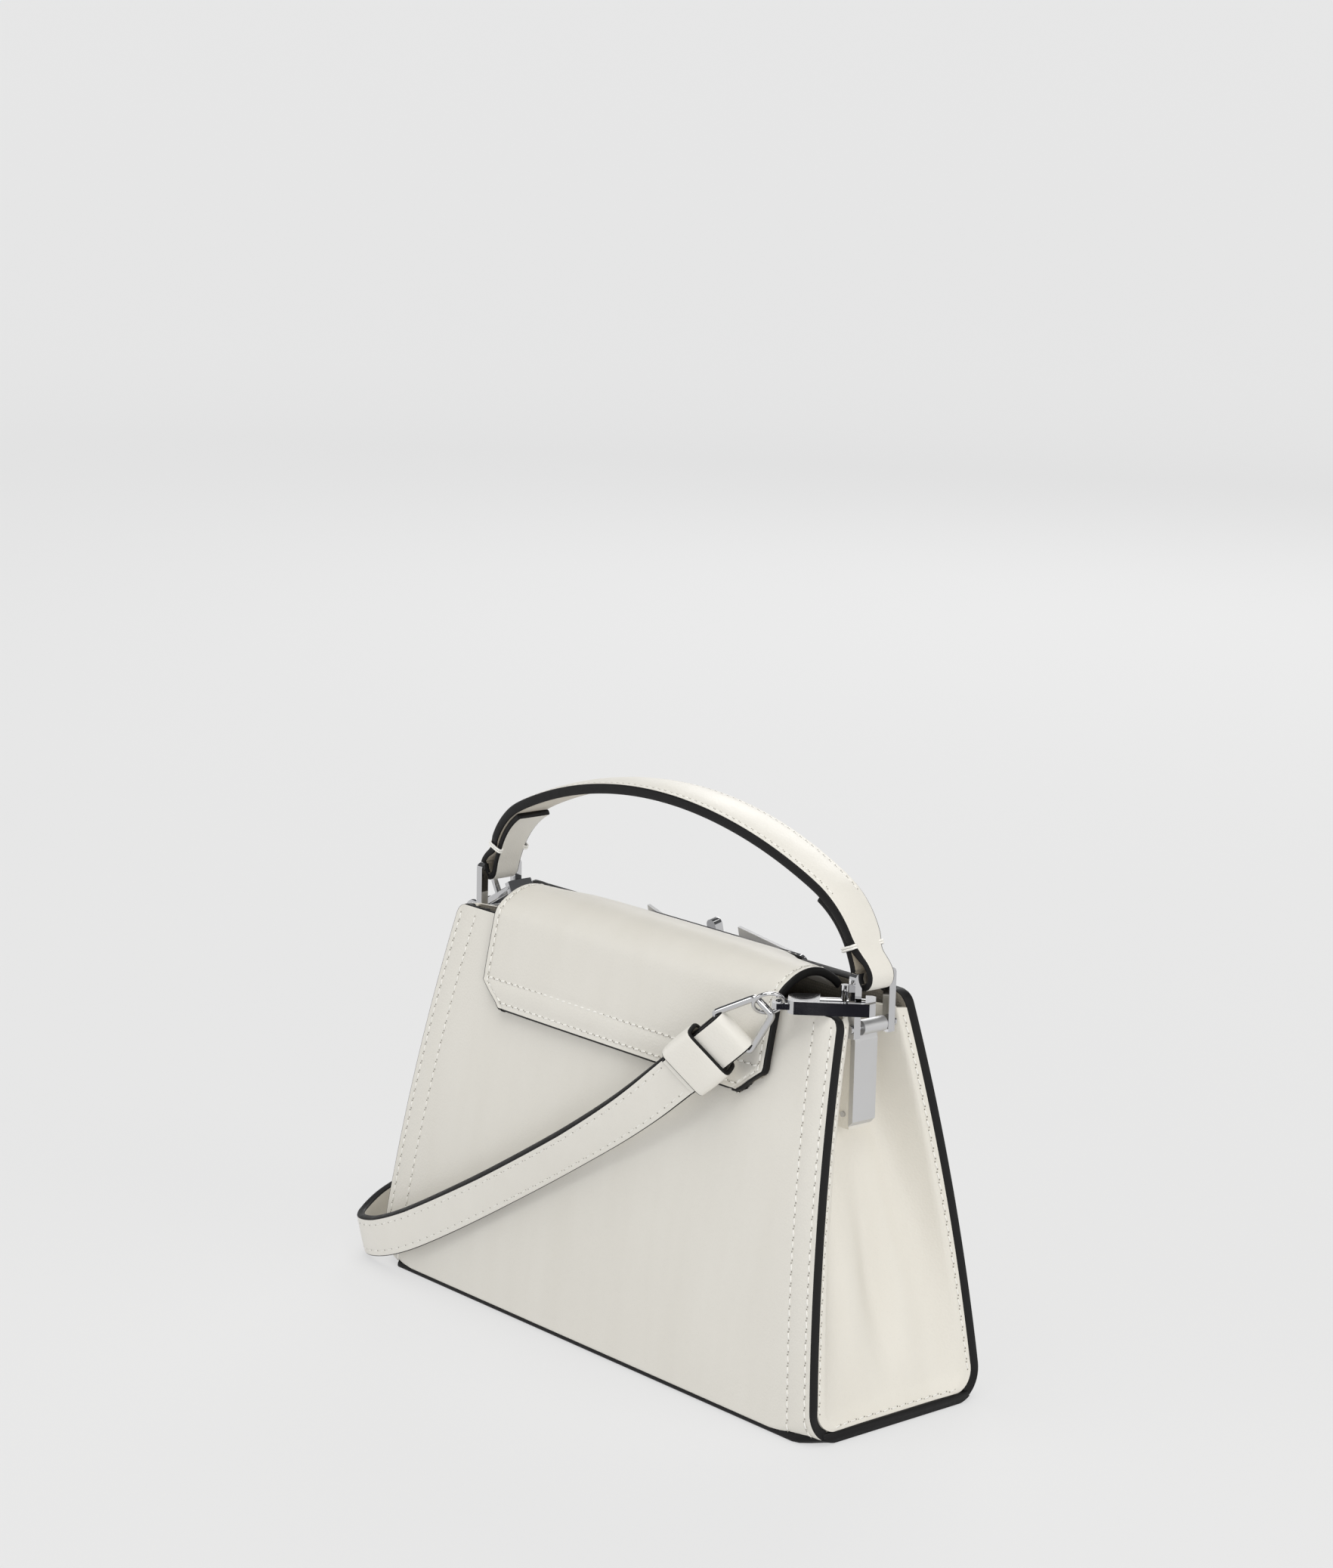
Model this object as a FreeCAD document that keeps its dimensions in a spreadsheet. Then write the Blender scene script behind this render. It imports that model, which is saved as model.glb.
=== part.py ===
import FreeCAD, Part
import math
import os
import Sketcher

# A small structured top handle bag: two curved leather panels on a flat base,
# recessed gussets, a flap that arches over the mouth, a padded top handle on
# two hinged rings, and a flat shoulder strap clipped to both rings.
# Millimetres. +Z up, origin on the floor under the middle of the base.
# The lock side faces -Y, the plain back with the strap faces +Y.

V = FreeCAD.Vector
doc = FreeCAD.newDocument("top_handle_bag")
sheet = doc.addObject("Spreadsheet::Sheet", "Dims")

DIMENSIONS = [
    # shell
    ("half_top", 102.5, "half width of the panels at the top edge"),
    ("half_low", 119.2, "half width of the panels above the bottom corners"),
    ("half_seam", 119.0, "half width of the panels where the bottom corners end"),
    ("top_back", 139.0, "height of the back panel"),
    ("top_front", 143.8, "height of the front panel"),
    ("low_z", 8.0, "height where the bottom corners start"),
    ("depth_top_back", 17.0, "outer face of the back panel at its top edge"),
    ("depth_top_front", 16.2, "outer face of the front panel at its top edge"),
    ("depth_low", 39.6, "outer face of both panels above the bottom corners"),
    ("depth_seam", 38.0, "outer face of both panels on the base"),
    ("panel_t", 3.7, "thickness of the panels with their turned gusset edge"),
    ("bow_r", 757.0, "radius of the bow of the panels, front to back"),
    ("corner_r", 6.0, "radius of the bottom corners"),
    ("shoulder_r", 4.0, "radius of the top corners of the panels"),
    ("base_t", 3.8, "thickness of the base"),
    ("base_half_len", 120.6, "half length of the base"),
    ("base_half_depth", 38.0, "half depth of the base"),
    ("base_corner", 8.0, "radius of the corners of the base, seen from above"),
    ("board_t", 2.0, "thickness of the stiffening board in the base"),
    ("gusset_t", 2.6, "thickness of the gussets"),
    ("gusset_top_x", 86.5, "outer face of a gusset at its top edge"),
    ("gusset_knee_x", 90.5, "outer face of a gusset under the bracket"),
    ("gusset_low_x", 116.0, "outer face of a gusset on the base"),
    ("gusset_top_z", 138.4, "height of the gussets"),
    ("gusset_knee_z", 96.0, "height of the knee of the gussets"),
    # flap
    ("flap_half", 76.6, "half width of the flap"),
    ("flap_t", 3.0, "thickness of the flap"),
    ("tab_low_z", 107.5, "lower edge of the flap's sewn tab"),
    ("tab_low_y", 24.95, "inner face of the tab at its lower edge"),
    ("tab_top_z", 141.2, "upper end of the tab, at the fold"),
    ("tab_top_y", 17.9, "inner face of the tab at the fold"),
    ("tab_cut_x", 11.6, "width of the cut lower corners of the tab"),
    ("tab_cut_z", 9.0, "height of the cut lower corners of the tab"),
    ("fold_z", 141.9, "lowest point of the moving flap at the fold"),
    ("arch_y", 5.0, "place of the crown of the flap"),
    ("arch_z", 150.6, "height of the crown of the flap"),
    ("ear_y", -9.5, "front edge of the flap beside the tongue"),
    ("ear_z", 142.0, "height of that front edge"),
    ("tongue_half", 49.0, "half width of the tongue on the front"),
    ("tongue_y", -22.4, "outer face of the tongue below its bend"),
    ("tongue_z", 142.2, "height where the tongue turns down"),
    ("tongue_low_y", -31.2, "outer face of the tongue at its lower edge"),
    ("tongue_low_z", 101.0, "lower edge of the tongue"),
    # handle
    ("handle_t", 3.4, "thickness of the handle"),
    ("handle_r", 191.0, "radius of the crown of the handle"),
    ("handle_top", 197.0, "height of the handle"),
    ("shoulder_x", 64.9, "centre of the handle's shoulder bend, sideways"),
    ("shoulder_z", 146.7, "centre of the handle's shoulder bend, height"),
    ("shoulder_bend", 36.0, "outer radius of the handle's shoulder bend"),
    ("loop_r", 4.9, "outer radius of the loops at the handle's ends"),
    ("loop_bore", 2.65, "bore of those loops"),
    ("handle_half_mid", 10.0, "half width of the handle at its crown"),
    ("handle_half_end", 5.4, "half width of the handle at its loops"),
    # rings and brackets
    ("pin_x", 100.5, "hinge pin of the rings, sideways"),
    ("pin_z", 133.8, "hinge pin of the rings, height"),
    ("pin_r", 0.9, "radius of the hinge pin"),
    ("pin_gap", 0.06, "running clearance of the hinge pin"),
    ("bar_z", 151.0, "middle of the top bar of a ring"),
    ("bar_h", 3.6, "height of the top bar of a ring"),
    ("ring_half", 9.4, "half width of a ring"),
    ("ring_gap", 6.4, "half width of the gap in a ring"),
    ("ring_t", 3.0, "thickness of a ring"),
    ("ring_low_z", 130.6, "lower end of the legs of a ring"),
    ("plate_x", 98.4, "outer face of a bracket plate"),
    ("plate_t", 2.0, "thickness of a bracket plate"),
    ("plate_w", 10.4, "width of a bracket plate and its knuckle"),
    ("plate_low_z", 98.6, "lower end of a bracket plate"),
    ("knuckle_r", 2.6, "outer radius of the hinge knuckle"),
    ("block_w", 9.6, "width of the leather block behind a plate"),
    ("screw_r", 1.0, "radius of the screw heads"),
    ("screw_h", 0.7, "height of the screw heads"),
    # lock
    ("lock_half", 43.0, "half width of the lock plate"),
    ("lock_low", 10.0, "lock plate below its middle"),
    ("lock_high", 11.0, "lock plate above its middle"),
    ("lock_t", 1.6, "thickness of the lock plate"),
    ("wing_t", 2.0, "thickness of the wings"),
    ("knob_x", 11.0, "knob's spindle, sideways"),
    ("knob_up", 5.5, "knob's spindle above the plate's middle"),
    ("spindle_r", 2.2, "radius of the knob's spindle"),
    ("spindle_gap", 0.08, "running clearance of the spindle"),
    ("knob_half", 4.6, "half length of the straight part of the knob"),
    ("knob_r", 2.4, "half width of the knob"),
    ("knob_h", 4.0, "height of the knob"),
    ("magnet_r", 7.0, "radius of the magnet discs"),
    # strap and its clips
    ("strap_w", 16.0, "width of the strap"),
    ("strap_t", 3.0, "thickness of the strap"),
    ("clip_bar", 1.8, "width of the side bar of a clip"),
    ("clip_half", 3.7, "half width of the window of a clip"),
    ("clip_h", 4.4, "height of a clip"),
    ("clip_end", 3.4, "length of the nose of a clip"),
    ("clip_block", 18.5, "start of the rear block of a clip"),
    ("clip_tail", 29.0, "start of the tail of a clip"),
    ("clip_len", 34.2, "length of a clip"),
    ("bolt_r", 1.35, "radius of the sliding bolt"),
    ("bolt_gap", 0.06, "running clearance of the bolt"),
    ("bolt_q", 4.95, "bolt beside the middle of the window"),
    ("stud_s", 10.4, "thumb stud along the clip"),
    ("stud_r", 1.3, "radius of the thumb stud"),
    ("stud_h", 6.0, "height of the thumb stud above the bolt"),
    ("link_r", 5.1, "radius of the round link"),
    ("link_wire", 0.7, "wire radius of the round link"),
    ("dee_half", 10.0, "half width of the strap ring at the strap"),
    ("dee_tip", 5.0, "half width of the strap ring at the link"),
    ("dee_len", 16.6, "strap ring, from bar to bar"),
    ("dee_wire", 2.2, "width of the bars of the strap ring"),
]

for row, (alias, value, note) in enumerate(DIMENSIONS, start=1):
    sheet.set("A%d" % row, note)
    sheet.set("B%d" % row, repr(value))
    sheet.setAlias("B%d" % row, alias)
doc.recompute()


class Q:
    """A length with its number and the sheet expression that gives it."""

    def __init__(self, v, e):
        self.v, self.e = float(v), e

    def __add__(self, o):
        o = q(o)
        return Q(self.v + o.v, "(%s + %s)" % (self.e, o.e))

    def __radd__(self, o):
        return q(o) + self

    def __sub__(self, o):
        o = q(o)
        return Q(self.v - o.v, "(%s - %s)" % (self.e, o.e))

    def __rsub__(self, o):
        return q(o) - self

    def __mul__(self, o):
        o = q(o)
        return Q(self.v * o.v, "(%s * %s)" % (self.e, o.e))

    __rmul__ = __mul__

    def __neg__(self):
        return Q(-self.v, "(0 - %s)" % self.e)


def q(x):
    return x if isinstance(x, Q) else Q(x, "(0 - %.4f)" % -x if x < 0 else "%.4f" % x)


class Dims:
    pass


D = Dims()
for alias, value, note in DIMENSIONS:
    setattr(D, alias, Q(value, "Dims." + alias))

TURN = {
    "XY": FreeCAD.Rotation(),
    "XZ": FreeCAD.Rotation(V(1, 0, 0), 90),
    "YZ": FreeCAD.Rotation(0.5, 0.5, 0.5, 0.5),
}
NODES = []


def bind(obj, prop, value):
    obj.setExpression(prop, q(value).e)


def fix(sk, kind, geo, pos, value):
    value = q(value)
    i = sk.addConstraint(Sketcher.Constraint(kind, -1, 1, geo, pos, value.v))
    sk.setExpression("Constraints[%d]" % i, value.e)


def loop(sk, points, arcs=None):
    """A closed outline. arcs: {segment: (radius, side, long way round)}, side +1
    bulges to the left of the way it is drawn."""
    arcs = arcs or {}
    pts = [(q(a), q(b)) for a, b in points]
    ends = []
    for i, (a, b) in enumerate(zip(pts, pts[1:] + pts[:1])):
        pa, pb = V(a[0].v, a[1].v, 0), V(b[0].v, b[1].v, 0)
        if i not in arcs:
            g = sk.addGeometry(Part.LineSegment(pa, pb))
            ends.append((g, 1, 2))
            continue
        radius, side = q(arcs[i][0]), arcs[i][1]
        way = pb - pa
        drop = math.sqrt(max(radius.v**2 - (way.Length / 2) ** 2, 0))
        drop = -drop if len(arcs[i]) > 2 else drop
        left = V(-way.y, way.x, 0) / way.Length
        mid = (pa + pb) / 2 - left * (side * drop)
        a0, a1 = (math.atan2(p.y - mid.y, p.x - mid.x) for p in (pa, pb))
        if side > 0:
            a0, a1 = a1, a0
        if a1 < a0:
            a1 += 2 * math.pi
        ring = Part.Circle(mid, V(0, 0, 1), radius.v)
        g = sk.addGeometry(Part.ArcOfCircle(ring, a0, a1))
        first = 1 if side < 0 else 2
        ends.append((g, first, 3 - first))
        c = sk.addConstraint(Sketcher.Constraint("Radius", g, radius.v))
        sk.setExpression("Constraints[%d]" % c, radius.e)
    for i, (g, first, last) in enumerate(ends):
        n = ends[(i + 1) % len(ends)]
        sk.addConstraint(Sketcher.Constraint("Coincident", g, last, n[0], n[1]))
        fix(sk, "DistanceX", g, first, pts[i][0])
        fix(sk, "DistanceY", g, first, pts[i][1])


def disc(sk, x, y, r):
    x, y, r = q(x), q(y), q(r)
    g = sk.addGeometry(Part.Circle(V(x.v, y.v, 0), V(0, 0, 1), r.v))
    fix(sk, "DistanceX", g, 3, x)
    fix(sk, "DistanceY", g, 3, y)
    c = sk.addConstraint(Sketcher.Constraint("Radius", g, r.v))
    sk.setExpression("Constraints[%d]" % c, r.e)


def free_sketch(name, plane, at=(0, 0, 0)):
    sk = doc.addObject("Sketcher::SketchObject", name)
    sk.Placement = FreeCAD.Placement(V(*[q(a).v for a in at]), TURN[plane])
    for axis, a in zip("xyz", at):
        if isinstance(a, Q):
            sk.setExpression("Placement.Base." + axis, a.e)
    return sk


def slab(name, sk, length):
    e = doc.addObject("Part::Extrusion", name)
    e.Base, e.DirMode, e.Solid, e.Symmetric = sk, "Normal", True, True
    bind(e, "LengthFwd", length)
    return e


def both(name, a, b):
    c = doc.addObject("Part::Common", name)
    c.Base, c.Tool = a, b
    return c


def node(obj, label, placement=None):
    obj.Label = label
    if placement is not None:
        obj.Placement = placement
    NODES.append((label, obj))
    return obj


def body(name):
    return doc.addObject("PartDesign::Body", name)


def body_sketch(b, name, plane, lift=0.0):
    sk = b.newObject("Sketcher::SketchObject", name)
    support = [f for f in b.Origin.OriginFeatures if f.Role == plane + "_Plane"][0]
    sk.AttachmentSupport, sk.MapMode = [(support, "")], "FlatFace"
    lift = q(lift)
    if lift.v:
        sk.AttachmentOffset = FreeCAD.Placement(V(0, 0, lift.v), FreeCAD.Rotation())
        sk.setExpression("AttachmentOffset.Base.z", lift.e)
    return sk


def pad(b, name, sk, length, middle=True):
    p = b.newObject("PartDesign::Pad", name)
    p.Profile = sk
    if middle:
        p.SideType = "Symmetric"
    bind(p, "Length", length)
    sk.Visibility = False
    return p


def cut_through(b, name, sk):
    p = b.newObject("PartDesign::Pocket", name)
    p.Profile, p.SideType, p.Type = sk, "Symmetric", "ThroughAll"
    return p


# ---------------------------------------------------------------- the panels
def panel(name, s, top_y, top_z):
    """A bowed leather panel; s is +1 for the back and -1 for the front."""
    sk = free_sketch(name + "_section", "YZ")
    inner = D.panel_t
    loop(
        sk,
        [
            (s * top_y, top_z),
            (s * D.depth_low, D.low_z),
            (s * D.depth_seam, D.base_t),
            (s * (D.depth_seam - inner), D.base_t),
            (s * (D.depth_low - inner), D.low_z),
            (s * (top_y - inner), top_z),
        ],
        {
            0: (D.bow_r, s),
            1: (D.corner_r, s),
            3: (D.corner_r - 2.5, -s),
            4: (D.bow_r, -s),
        },
    )
    strip = slab(name + "_strip", sk, D.base_half_len * 2.2)
    face = free_sketch(name + "_outline", "XZ")
    r = D.shoulder_r
    loop(
        face,
        [
            (D.half_seam, D.base_t),
            (D.half_low, D.low_z),
            (D.half_top + 0.5, top_z - r),
            (D.half_top - r, top_z),
            (-(D.half_top - r), top_z),
            (-(D.half_top + 0.5), top_z - r),
            (-D.half_low, D.low_z),
            (-D.half_seam, D.base_t),
        ],
        {
            0: (D.corner_r, -1),
            2: (D.shoulder_r + 0.6, -1),
            4: (D.shoulder_r + 0.6, -1),
            6: (D.corner_r, -1),
        },
    )
    whole = slab(name + "_shape", face, D.depth_low * 4)
    return node(both(name, strip, whole), name)


panel("back_panel", 1, D.depth_top_back, D.top_back)
panel("front_panel", -1, D.depth_top_front, D.top_front)

# the base, a flat board of leather with rounded corners
plan = free_sketch("base_plan", "XY", (0, 0, 0.5 * D.base_t))
L, W, R = D.base_half_len, D.base_half_depth, D.base_corner
loop(
    plan,
    [
        (L, -(W - R)),
        (L, W - R),
        (L - R, W),
        (-(L - R), W),
        (-L, W - R),
        (-L, -(W - R)),
        (-(L - R), -W),
        (L - R, -W),
    ],
    {1: (R, -1), 3: (R, -1), 5: (R, -1), 7: (R, -1)},
)
node(slab("base_panel", plan, D.base_t), "base_panel")

board = doc.addObject("Part::Box", "base_board")
bind(board, "Length", 2 * D.gusset_low_x - 14)
bind(board, "Width", 2 * D.depth_seam - 13)
bind(board, "Height", D.board_t)
node(board, "base_board")
bind(board, "Placement.Base.x", 7 - D.gusset_low_x)
bind(board, "Placement.Base.y", 6.5 - D.depth_seam)
bind(board, "Placement.Base.z", D.base_t + 0.05)

# a flat pocket inside, on the back panel
pocket = body("slip_pocket")
sk = body_sketch(pocket, "slip_pocket_outline", "XY")
loop(sk, [(-58, -32), (58, -32), (58, 32), (-58, 32)])
pad(pocket, "slip_pocket_pad", sk, 1.2)
node(
    pocket,
    "slip_pocket",
    FreeCAD.Placement(V(0, 24.2, 79), FreeCAD.Rotation(V(1, 0, 0), 99.8)),
)

# ---------------------------------------------------------------- the gussets
between = free_sketch("gusset_room", "YZ")
gap = 0.25
loop(
    between,
    [
        (D.depth_top_back - D.panel_t - gap, D.gusset_top_z),
        (D.depth_low - D.panel_t - gap, D.low_z),
        (D.depth_seam - D.panel_t - gap, D.base_t),
        (-(D.depth_seam - D.panel_t - gap), D.base_t),
        (-(D.depth_low - D.panel_t - gap), D.low_z),
        (-(D.depth_top_front - D.panel_t + 1.1), D.gusset_top_z),
    ],
    {0: (D.bow_r, 1), 4: (D.bow_r, 1)},
)


def gusset(name, s):
    sk = free_sketch(name + "_section", "XZ")
    t = D.gusset_t
    loop(
        sk,
        [
            (s * D.gusset_top_x, D.gusset_top_z),
            (s * D.gusset_knee_x, D.gusset_knee_z),
            (s * D.gusset_low_x, D.base_t),
            (s * (D.gusset_low_x - t), D.base_t),
            (s * (D.gusset_knee_x - t), D.gusset_knee_z),
            (s * (D.gusset_top_x - t), D.gusset_top_z),
        ],
    )
    strip = slab(name + "_strip", sk, D.depth_low * 2.2)
    room = slab(name + "_room", between, D.base_half_len * 2.2)
    return node(both(name, strip, room), name)


gusset("gusset_left", 1)
gusset("gusset_right", -1)

# ---------------------------------------------------------------- the flap
sk = free_sketch("flap_tab_section", "YZ")
loop(
    sk,
    [
        (D.tab_low_y, D.tab_low_z),
        (D.tab_low_y + D.flap_t, D.tab_low_z),
        (D.tab_top_y + D.flap_t, D.tab_top_z),
        (D.tab_top_y, D.tab_top_z),
    ],
)
strip = slab("flap_tab_strip", sk, D.flap_half * 2)
sk = free_sketch("flap_tab_outline", "XZ")
loop(
    sk,
    [
        (-(D.flap_half - D.tab_cut_x), D.tab_low_z),
        (D.flap_half - D.tab_cut_x, D.tab_low_z),
        (D.flap_half, D.tab_low_z + D.tab_cut_z),
        (D.flap_half, D.tab_top_z),
        (-D.flap_half, D.tab_top_z),
        (-D.flap_half, D.tab_low_z + D.tab_cut_z),
    ],
)
node(both("flap_tab", strip, slab("flap_tab_shape", sk, 120)), "flap_tab")

# The moving flap: an arch over the mouth, the same from end to end, and a
# narrower tongue that runs on over the front panel and down it.
t = D.flap_t
sk = free_sketch("flap_arch_section", "YZ")
loop(
    sk,
    [
        (D.tab_top_y + t - 0.05, D.fold_z),
        (D.arch_y, D.arch_z),
        (D.arch_y, D.arch_z - t),
        (D.tab_top_y - 0.05, D.fold_z),
    ],
    {0: (18.79, -1), 2: (17.35, 1)},
)
flap_bits = [slab("flap_arch", sk, D.flap_half * 2)]
# beside the tongue, past a narrow slit, the arch comes down inside the front
for side, s in (("left", 1), ("right", -1)):
    mid = 0.5 * s * (D.flap_half + D.tongue_half + 1)
    sk = free_sketch("flap_ear_section_" + side, "YZ", (mid, 0, 0))
    loop(
        sk,
        [
            (D.arch_y, D.arch_z),
            (D.ear_y, D.ear_z),
            (D.ear_y + t - 0.1, D.ear_z - 0.2),
            (D.arch_y, D.arch_z - t),
        ],
        {0: (16.52, -1), 2: (14.5, 1)},
    )
    flap_bits.append(slab("flap_ear_" + side, sk, D.flap_half - D.tongue_half - 1))
sk = free_sketch("flap_tongue_section", "YZ")
loop(
    sk,
    [
        (D.arch_y, D.arch_z),
        (D.tongue_y + 2.2, D.tongue_z + 3.8),
        (D.tongue_y, D.tongue_z),
        (D.tongue_low_y, D.tongue_low_z),
        (D.tongue_low_y + t, D.tongue_low_z),
        (D.tongue_y + t, D.tongue_z - 0.2),
        (D.tongue_y + t + 1.5, D.tongue_z + 2.0),
        (D.arch_y, D.arch_z - t),
    ],
    {0: (71.3, -1), 1: (5.0, -1), 5: (3.0, 1), 6: (78.8, 1)},
)
strip = slab("flap_tongue_strip", sk, D.tongue_half * 2)
sk = free_sketch("flap_tongue_outline", "XZ")
h = D.tongue_half
loop(
    sk,
    [
        (-(h - 11), D.tongue_low_z),
        (h - 11, D.tongue_low_z),
        (h, D.tongue_low_z + 17),
        (h, D.arch_z + 2),
        (-h, D.arch_z + 2),
        (-h, D.tongue_low_z + 17),
    ],
)
tongue = both("flap_tongue", strip, slab("flap_tongue_shape", sk, 120))
flap = doc.addObject("Part::MultiFuse", "flap")
flap.Shapes = flap_bits + [tongue]
node(flap, "flap")

# ---------------------------------------------------------------- the lock
# Its frame: X along the bag, Y up the slope of the tongue, Z out of it.
slope = math.atan2(
    D.tongue_y.v - D.tongue_low_y.v, D.tongue_z.v - D.tongue_low_z.v
)
LOCK_Z = 131.0
LOCK_Y = D.tongue_y.v - (D.tongue_z.v - LOCK_Z) * math.tan(slope)
lock_turn = FreeCAD.Rotation(V(1, 0, 0), 90 - math.degrees(slope))


def on_lock(x, y, z):
    return V(0, LOCK_Y, LOCK_Z) + lock_turn.multVec(V(x, y, z))


def lock_place(lift):
    return FreeCAD.Placement(on_lock(0, 0, lift), lock_turn)


plate = body("lock_plate")
sk = body_sketch(plate, "lock_plate_outline", "XY")
a, lo, hi, c = D.lock_half, D.lock_low, D.lock_high, 3.0
loop(
    sk,
    [
        (a, c - lo),
        (a, hi - c),
        (a - c, hi),
        (c - a, hi),
        (-a, hi - c),
        (-a, c - lo),
        (c - a, -lo),
        (a - c, -lo),
    ],
    {1: (3.0, -1), 3: (3.0, -1), 5: (3.0, -1), 7: (3.0, -1)},
)
disc(sk, D.knob_x, D.knob_up, D.spindle_r + D.spindle_gap)
pad(plate, "lock_plate_pad", sk, D.lock_t, middle=False)
node(plate, "lock_plate", lock_place(0.05))

for name, outline in (
    ("lock_wing_right", [(-7, -4), (-7, 14.4), (-39, 9.8), (-43, 4), (-43, -9)]),
    ("lock_wing_left", [(16, 5.2), (16, -8.5), (43, -4), (43, 12.6), (37, 10.6)]),
):
    wing = body(name)
    sk = body_sketch(wing, name + "_outline", "XY")
    loop(sk, outline)
    p = pad(wing, name + "_pad", sk, D.wing_t, middle=False)
    doc.recompute()
    edge = wing.newObject("PartDesign::Chamfer", name + "_bevel")
    top = [
        "Edge%d" % i
        for i, e in enumerate(p.Shape.Edges, start=1)
        if min(v.Z for v in e.Vertexes) > D.wing_t.v - 1e-6
    ]
    edge.Base, edge.Size = (p, top), 0.8
    wing.Tip = edge
    node(wing, name, lock_place(0.05 + D.lock_t.v + 0.05))

knob = body("turn_knob")
sk = body_sketch(knob, "knob_spindle_outline", "XY", 0.2)
disc(sk, D.knob_x, D.knob_up, D.spindle_r)
pad(knob, "knob_spindle", sk, 4.1, middle=False)
sk = body_sketch(knob, "knob_grip_outline", "XY", 4.2)
kx, ku, kh, kr = D.knob_x, D.knob_up, D.knob_half, D.knob_r
loop(
    sk,
    [
        (kx + kr, ku - kh),
        (kx + kr, ku + kh),
        (kx - kr, ku + kh),
        (kx - kr, ku - kh),
    ],
    {1: (kr + 0.0005, -1), 3: (kr + 0.0005, -1)},
)
grip = pad(knob, "knob_grip", sk, D.knob_h, middle=False)
doc.recompute()
edge = knob.newObject("PartDesign::Fillet", "knob_round")
top = [
    "Edge%d" % i
    for i, e in enumerate(grip.Shape.Edges, start=1)
    if min(v.Z for v in e.Vertexes) > 8.2 - 1e-6
]
edge.Base, edge.Radius = (grip, top), 1.0
knob.Tip = edge
node(knob, "turn_knob", lock_place(0))


def magnet(name, h, place):
    m = doc.addObject("Part::Cylinder", name)
    bind(m, "Radius", D.magnet_r)
    m.Height = h
    node(m, name, place)


magnet(
    "magnet_flap",
    0.5,
    FreeCAD.Placement(
        on_lock(0, -12.0, -D.flap_t.v * math.cos(slope) - 0.55), lock_turn
    ),
)
# the disc on the front panel lies on its bow, square to it
pa = V(0, -D.depth_top_front.v, D.top_front.v)
pb = V(0, -D.depth_low.v, D.low_z.v)
way = pb - pa
n = V(0, way.z, -way.y) / way.Length
bow = pa + way / 2 - n * math.sqrt(D.bow_r.v**2 - (way.Length / 2) ** 2)
spot = V(0, -22.0, 119.5) - bow
spot.normalize()
magnet(
    "magnet_front",
    0.6,
    FreeCAD.Placement(
        bow + spot * (D.bow_r.v + 0.05), FreeCAD.Rotation(V(0, 0, 1), spot)
    ),
)

# ---------------------------------------------------------------- the handle
# Half angle of the crown and of the shoulder bend, seen from the front.
crown = math.asin((80.0) / D.handle_r.v)
CX, CZ, SB, HT = D.shoulder_x, D.shoulder_z, D.shoulder_bend, D.handle_t
END = math.radians(70.7)


def bend(r, ang, s):
    return (s * (CX + r * math.sin(ang)), CZ + r * math.cos(ang))


sk = free_sketch("handle_section", "XZ")
loop(
    sk,
    [
        bend(SB, END, 1),
        bend(SB, crown, 1),
        bend(SB, crown, -1),
        bend(SB, END, -1),
        bend(SB - HT, END, -1),
        bend(SB - HT, crown, -1),
        bend(SB - HT, crown, 1),
        bend(SB - HT, END, 1),
    ],
    {
        0: (SB, -1),
        1: (D.handle_r, -1),
        2: (SB, -1),
        4: (SB - HT, 1),
        5: (D.handle_r - HT, 1),
        6: (SB - HT, 1),
    },
)
handle_bits = [slab("handle_band", sk, D.handle_half_mid * 2.2)]
for side, s in (("left", 1), ("right", -1)):
    sk = free_sketch("handle_neck_" + side, "XZ")
    loop(
        sk,
        [
            bend(SB, END, s),
            (s * (D.pin_x + 3.75), D.bar_z + 3.15),
            (s * D.pin_x, D.bar_z - 1.0),
            (s * (D.pin_x - 4.6), D.bar_z + 1.7),
            bend(SB - HT - 2.4, END, s),
        ],
    )
    handle_bits.append(slab("handle_neck_solid_" + side, sk, D.handle_half_mid * 2.2))
    sk = free_sketch("handle_eye_" + side, "XZ")
    disc(sk, s * D.pin_x, D.bar_z, D.loop_r)
    handle_bits.append(slab("handle_eye_solid_" + side, sk, D.handle_half_mid * 2.2))
rough = doc.addObject("Part::MultiFuse", "handle_rough")
rough.Shapes = handle_bits
sk = free_sketch("handle_bores", "XZ")
disc(sk, D.pin_x, D.bar_z, D.loop_bore)
disc(sk, -D.pin_x, D.bar_z, D.loop_bore)
bored = doc.addObject("Part::Cut", "handle_bored")
bored.Base, bored.Tool = rough, slab("handle_bore_rods", sk, D.handle_half_mid * 3)
# seen from the end it widens from its loops to its crown
sk = free_sketch("handle_taper", "YZ")
e, m = D.handle_half_end, D.handle_half_mid
right_side = [
    (e, D.bar_z - 8),
    (e, D.bar_z + 4),
    (e + 1.6, D.bar_z + 12),
    (e + 2.6, D.bar_z + 24.5),
    (m - 1.0, D.bar_z + 36),
    (m - 0.3, D.handle_top - 2),
    (m, D.handle_top + 2),
]
loop(sk, right_side + [(-a, b) for a, b in reversed(right_side)])
node(both("handle", bored, slab("handle_taper_block", sk, 260)), "handle")

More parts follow.
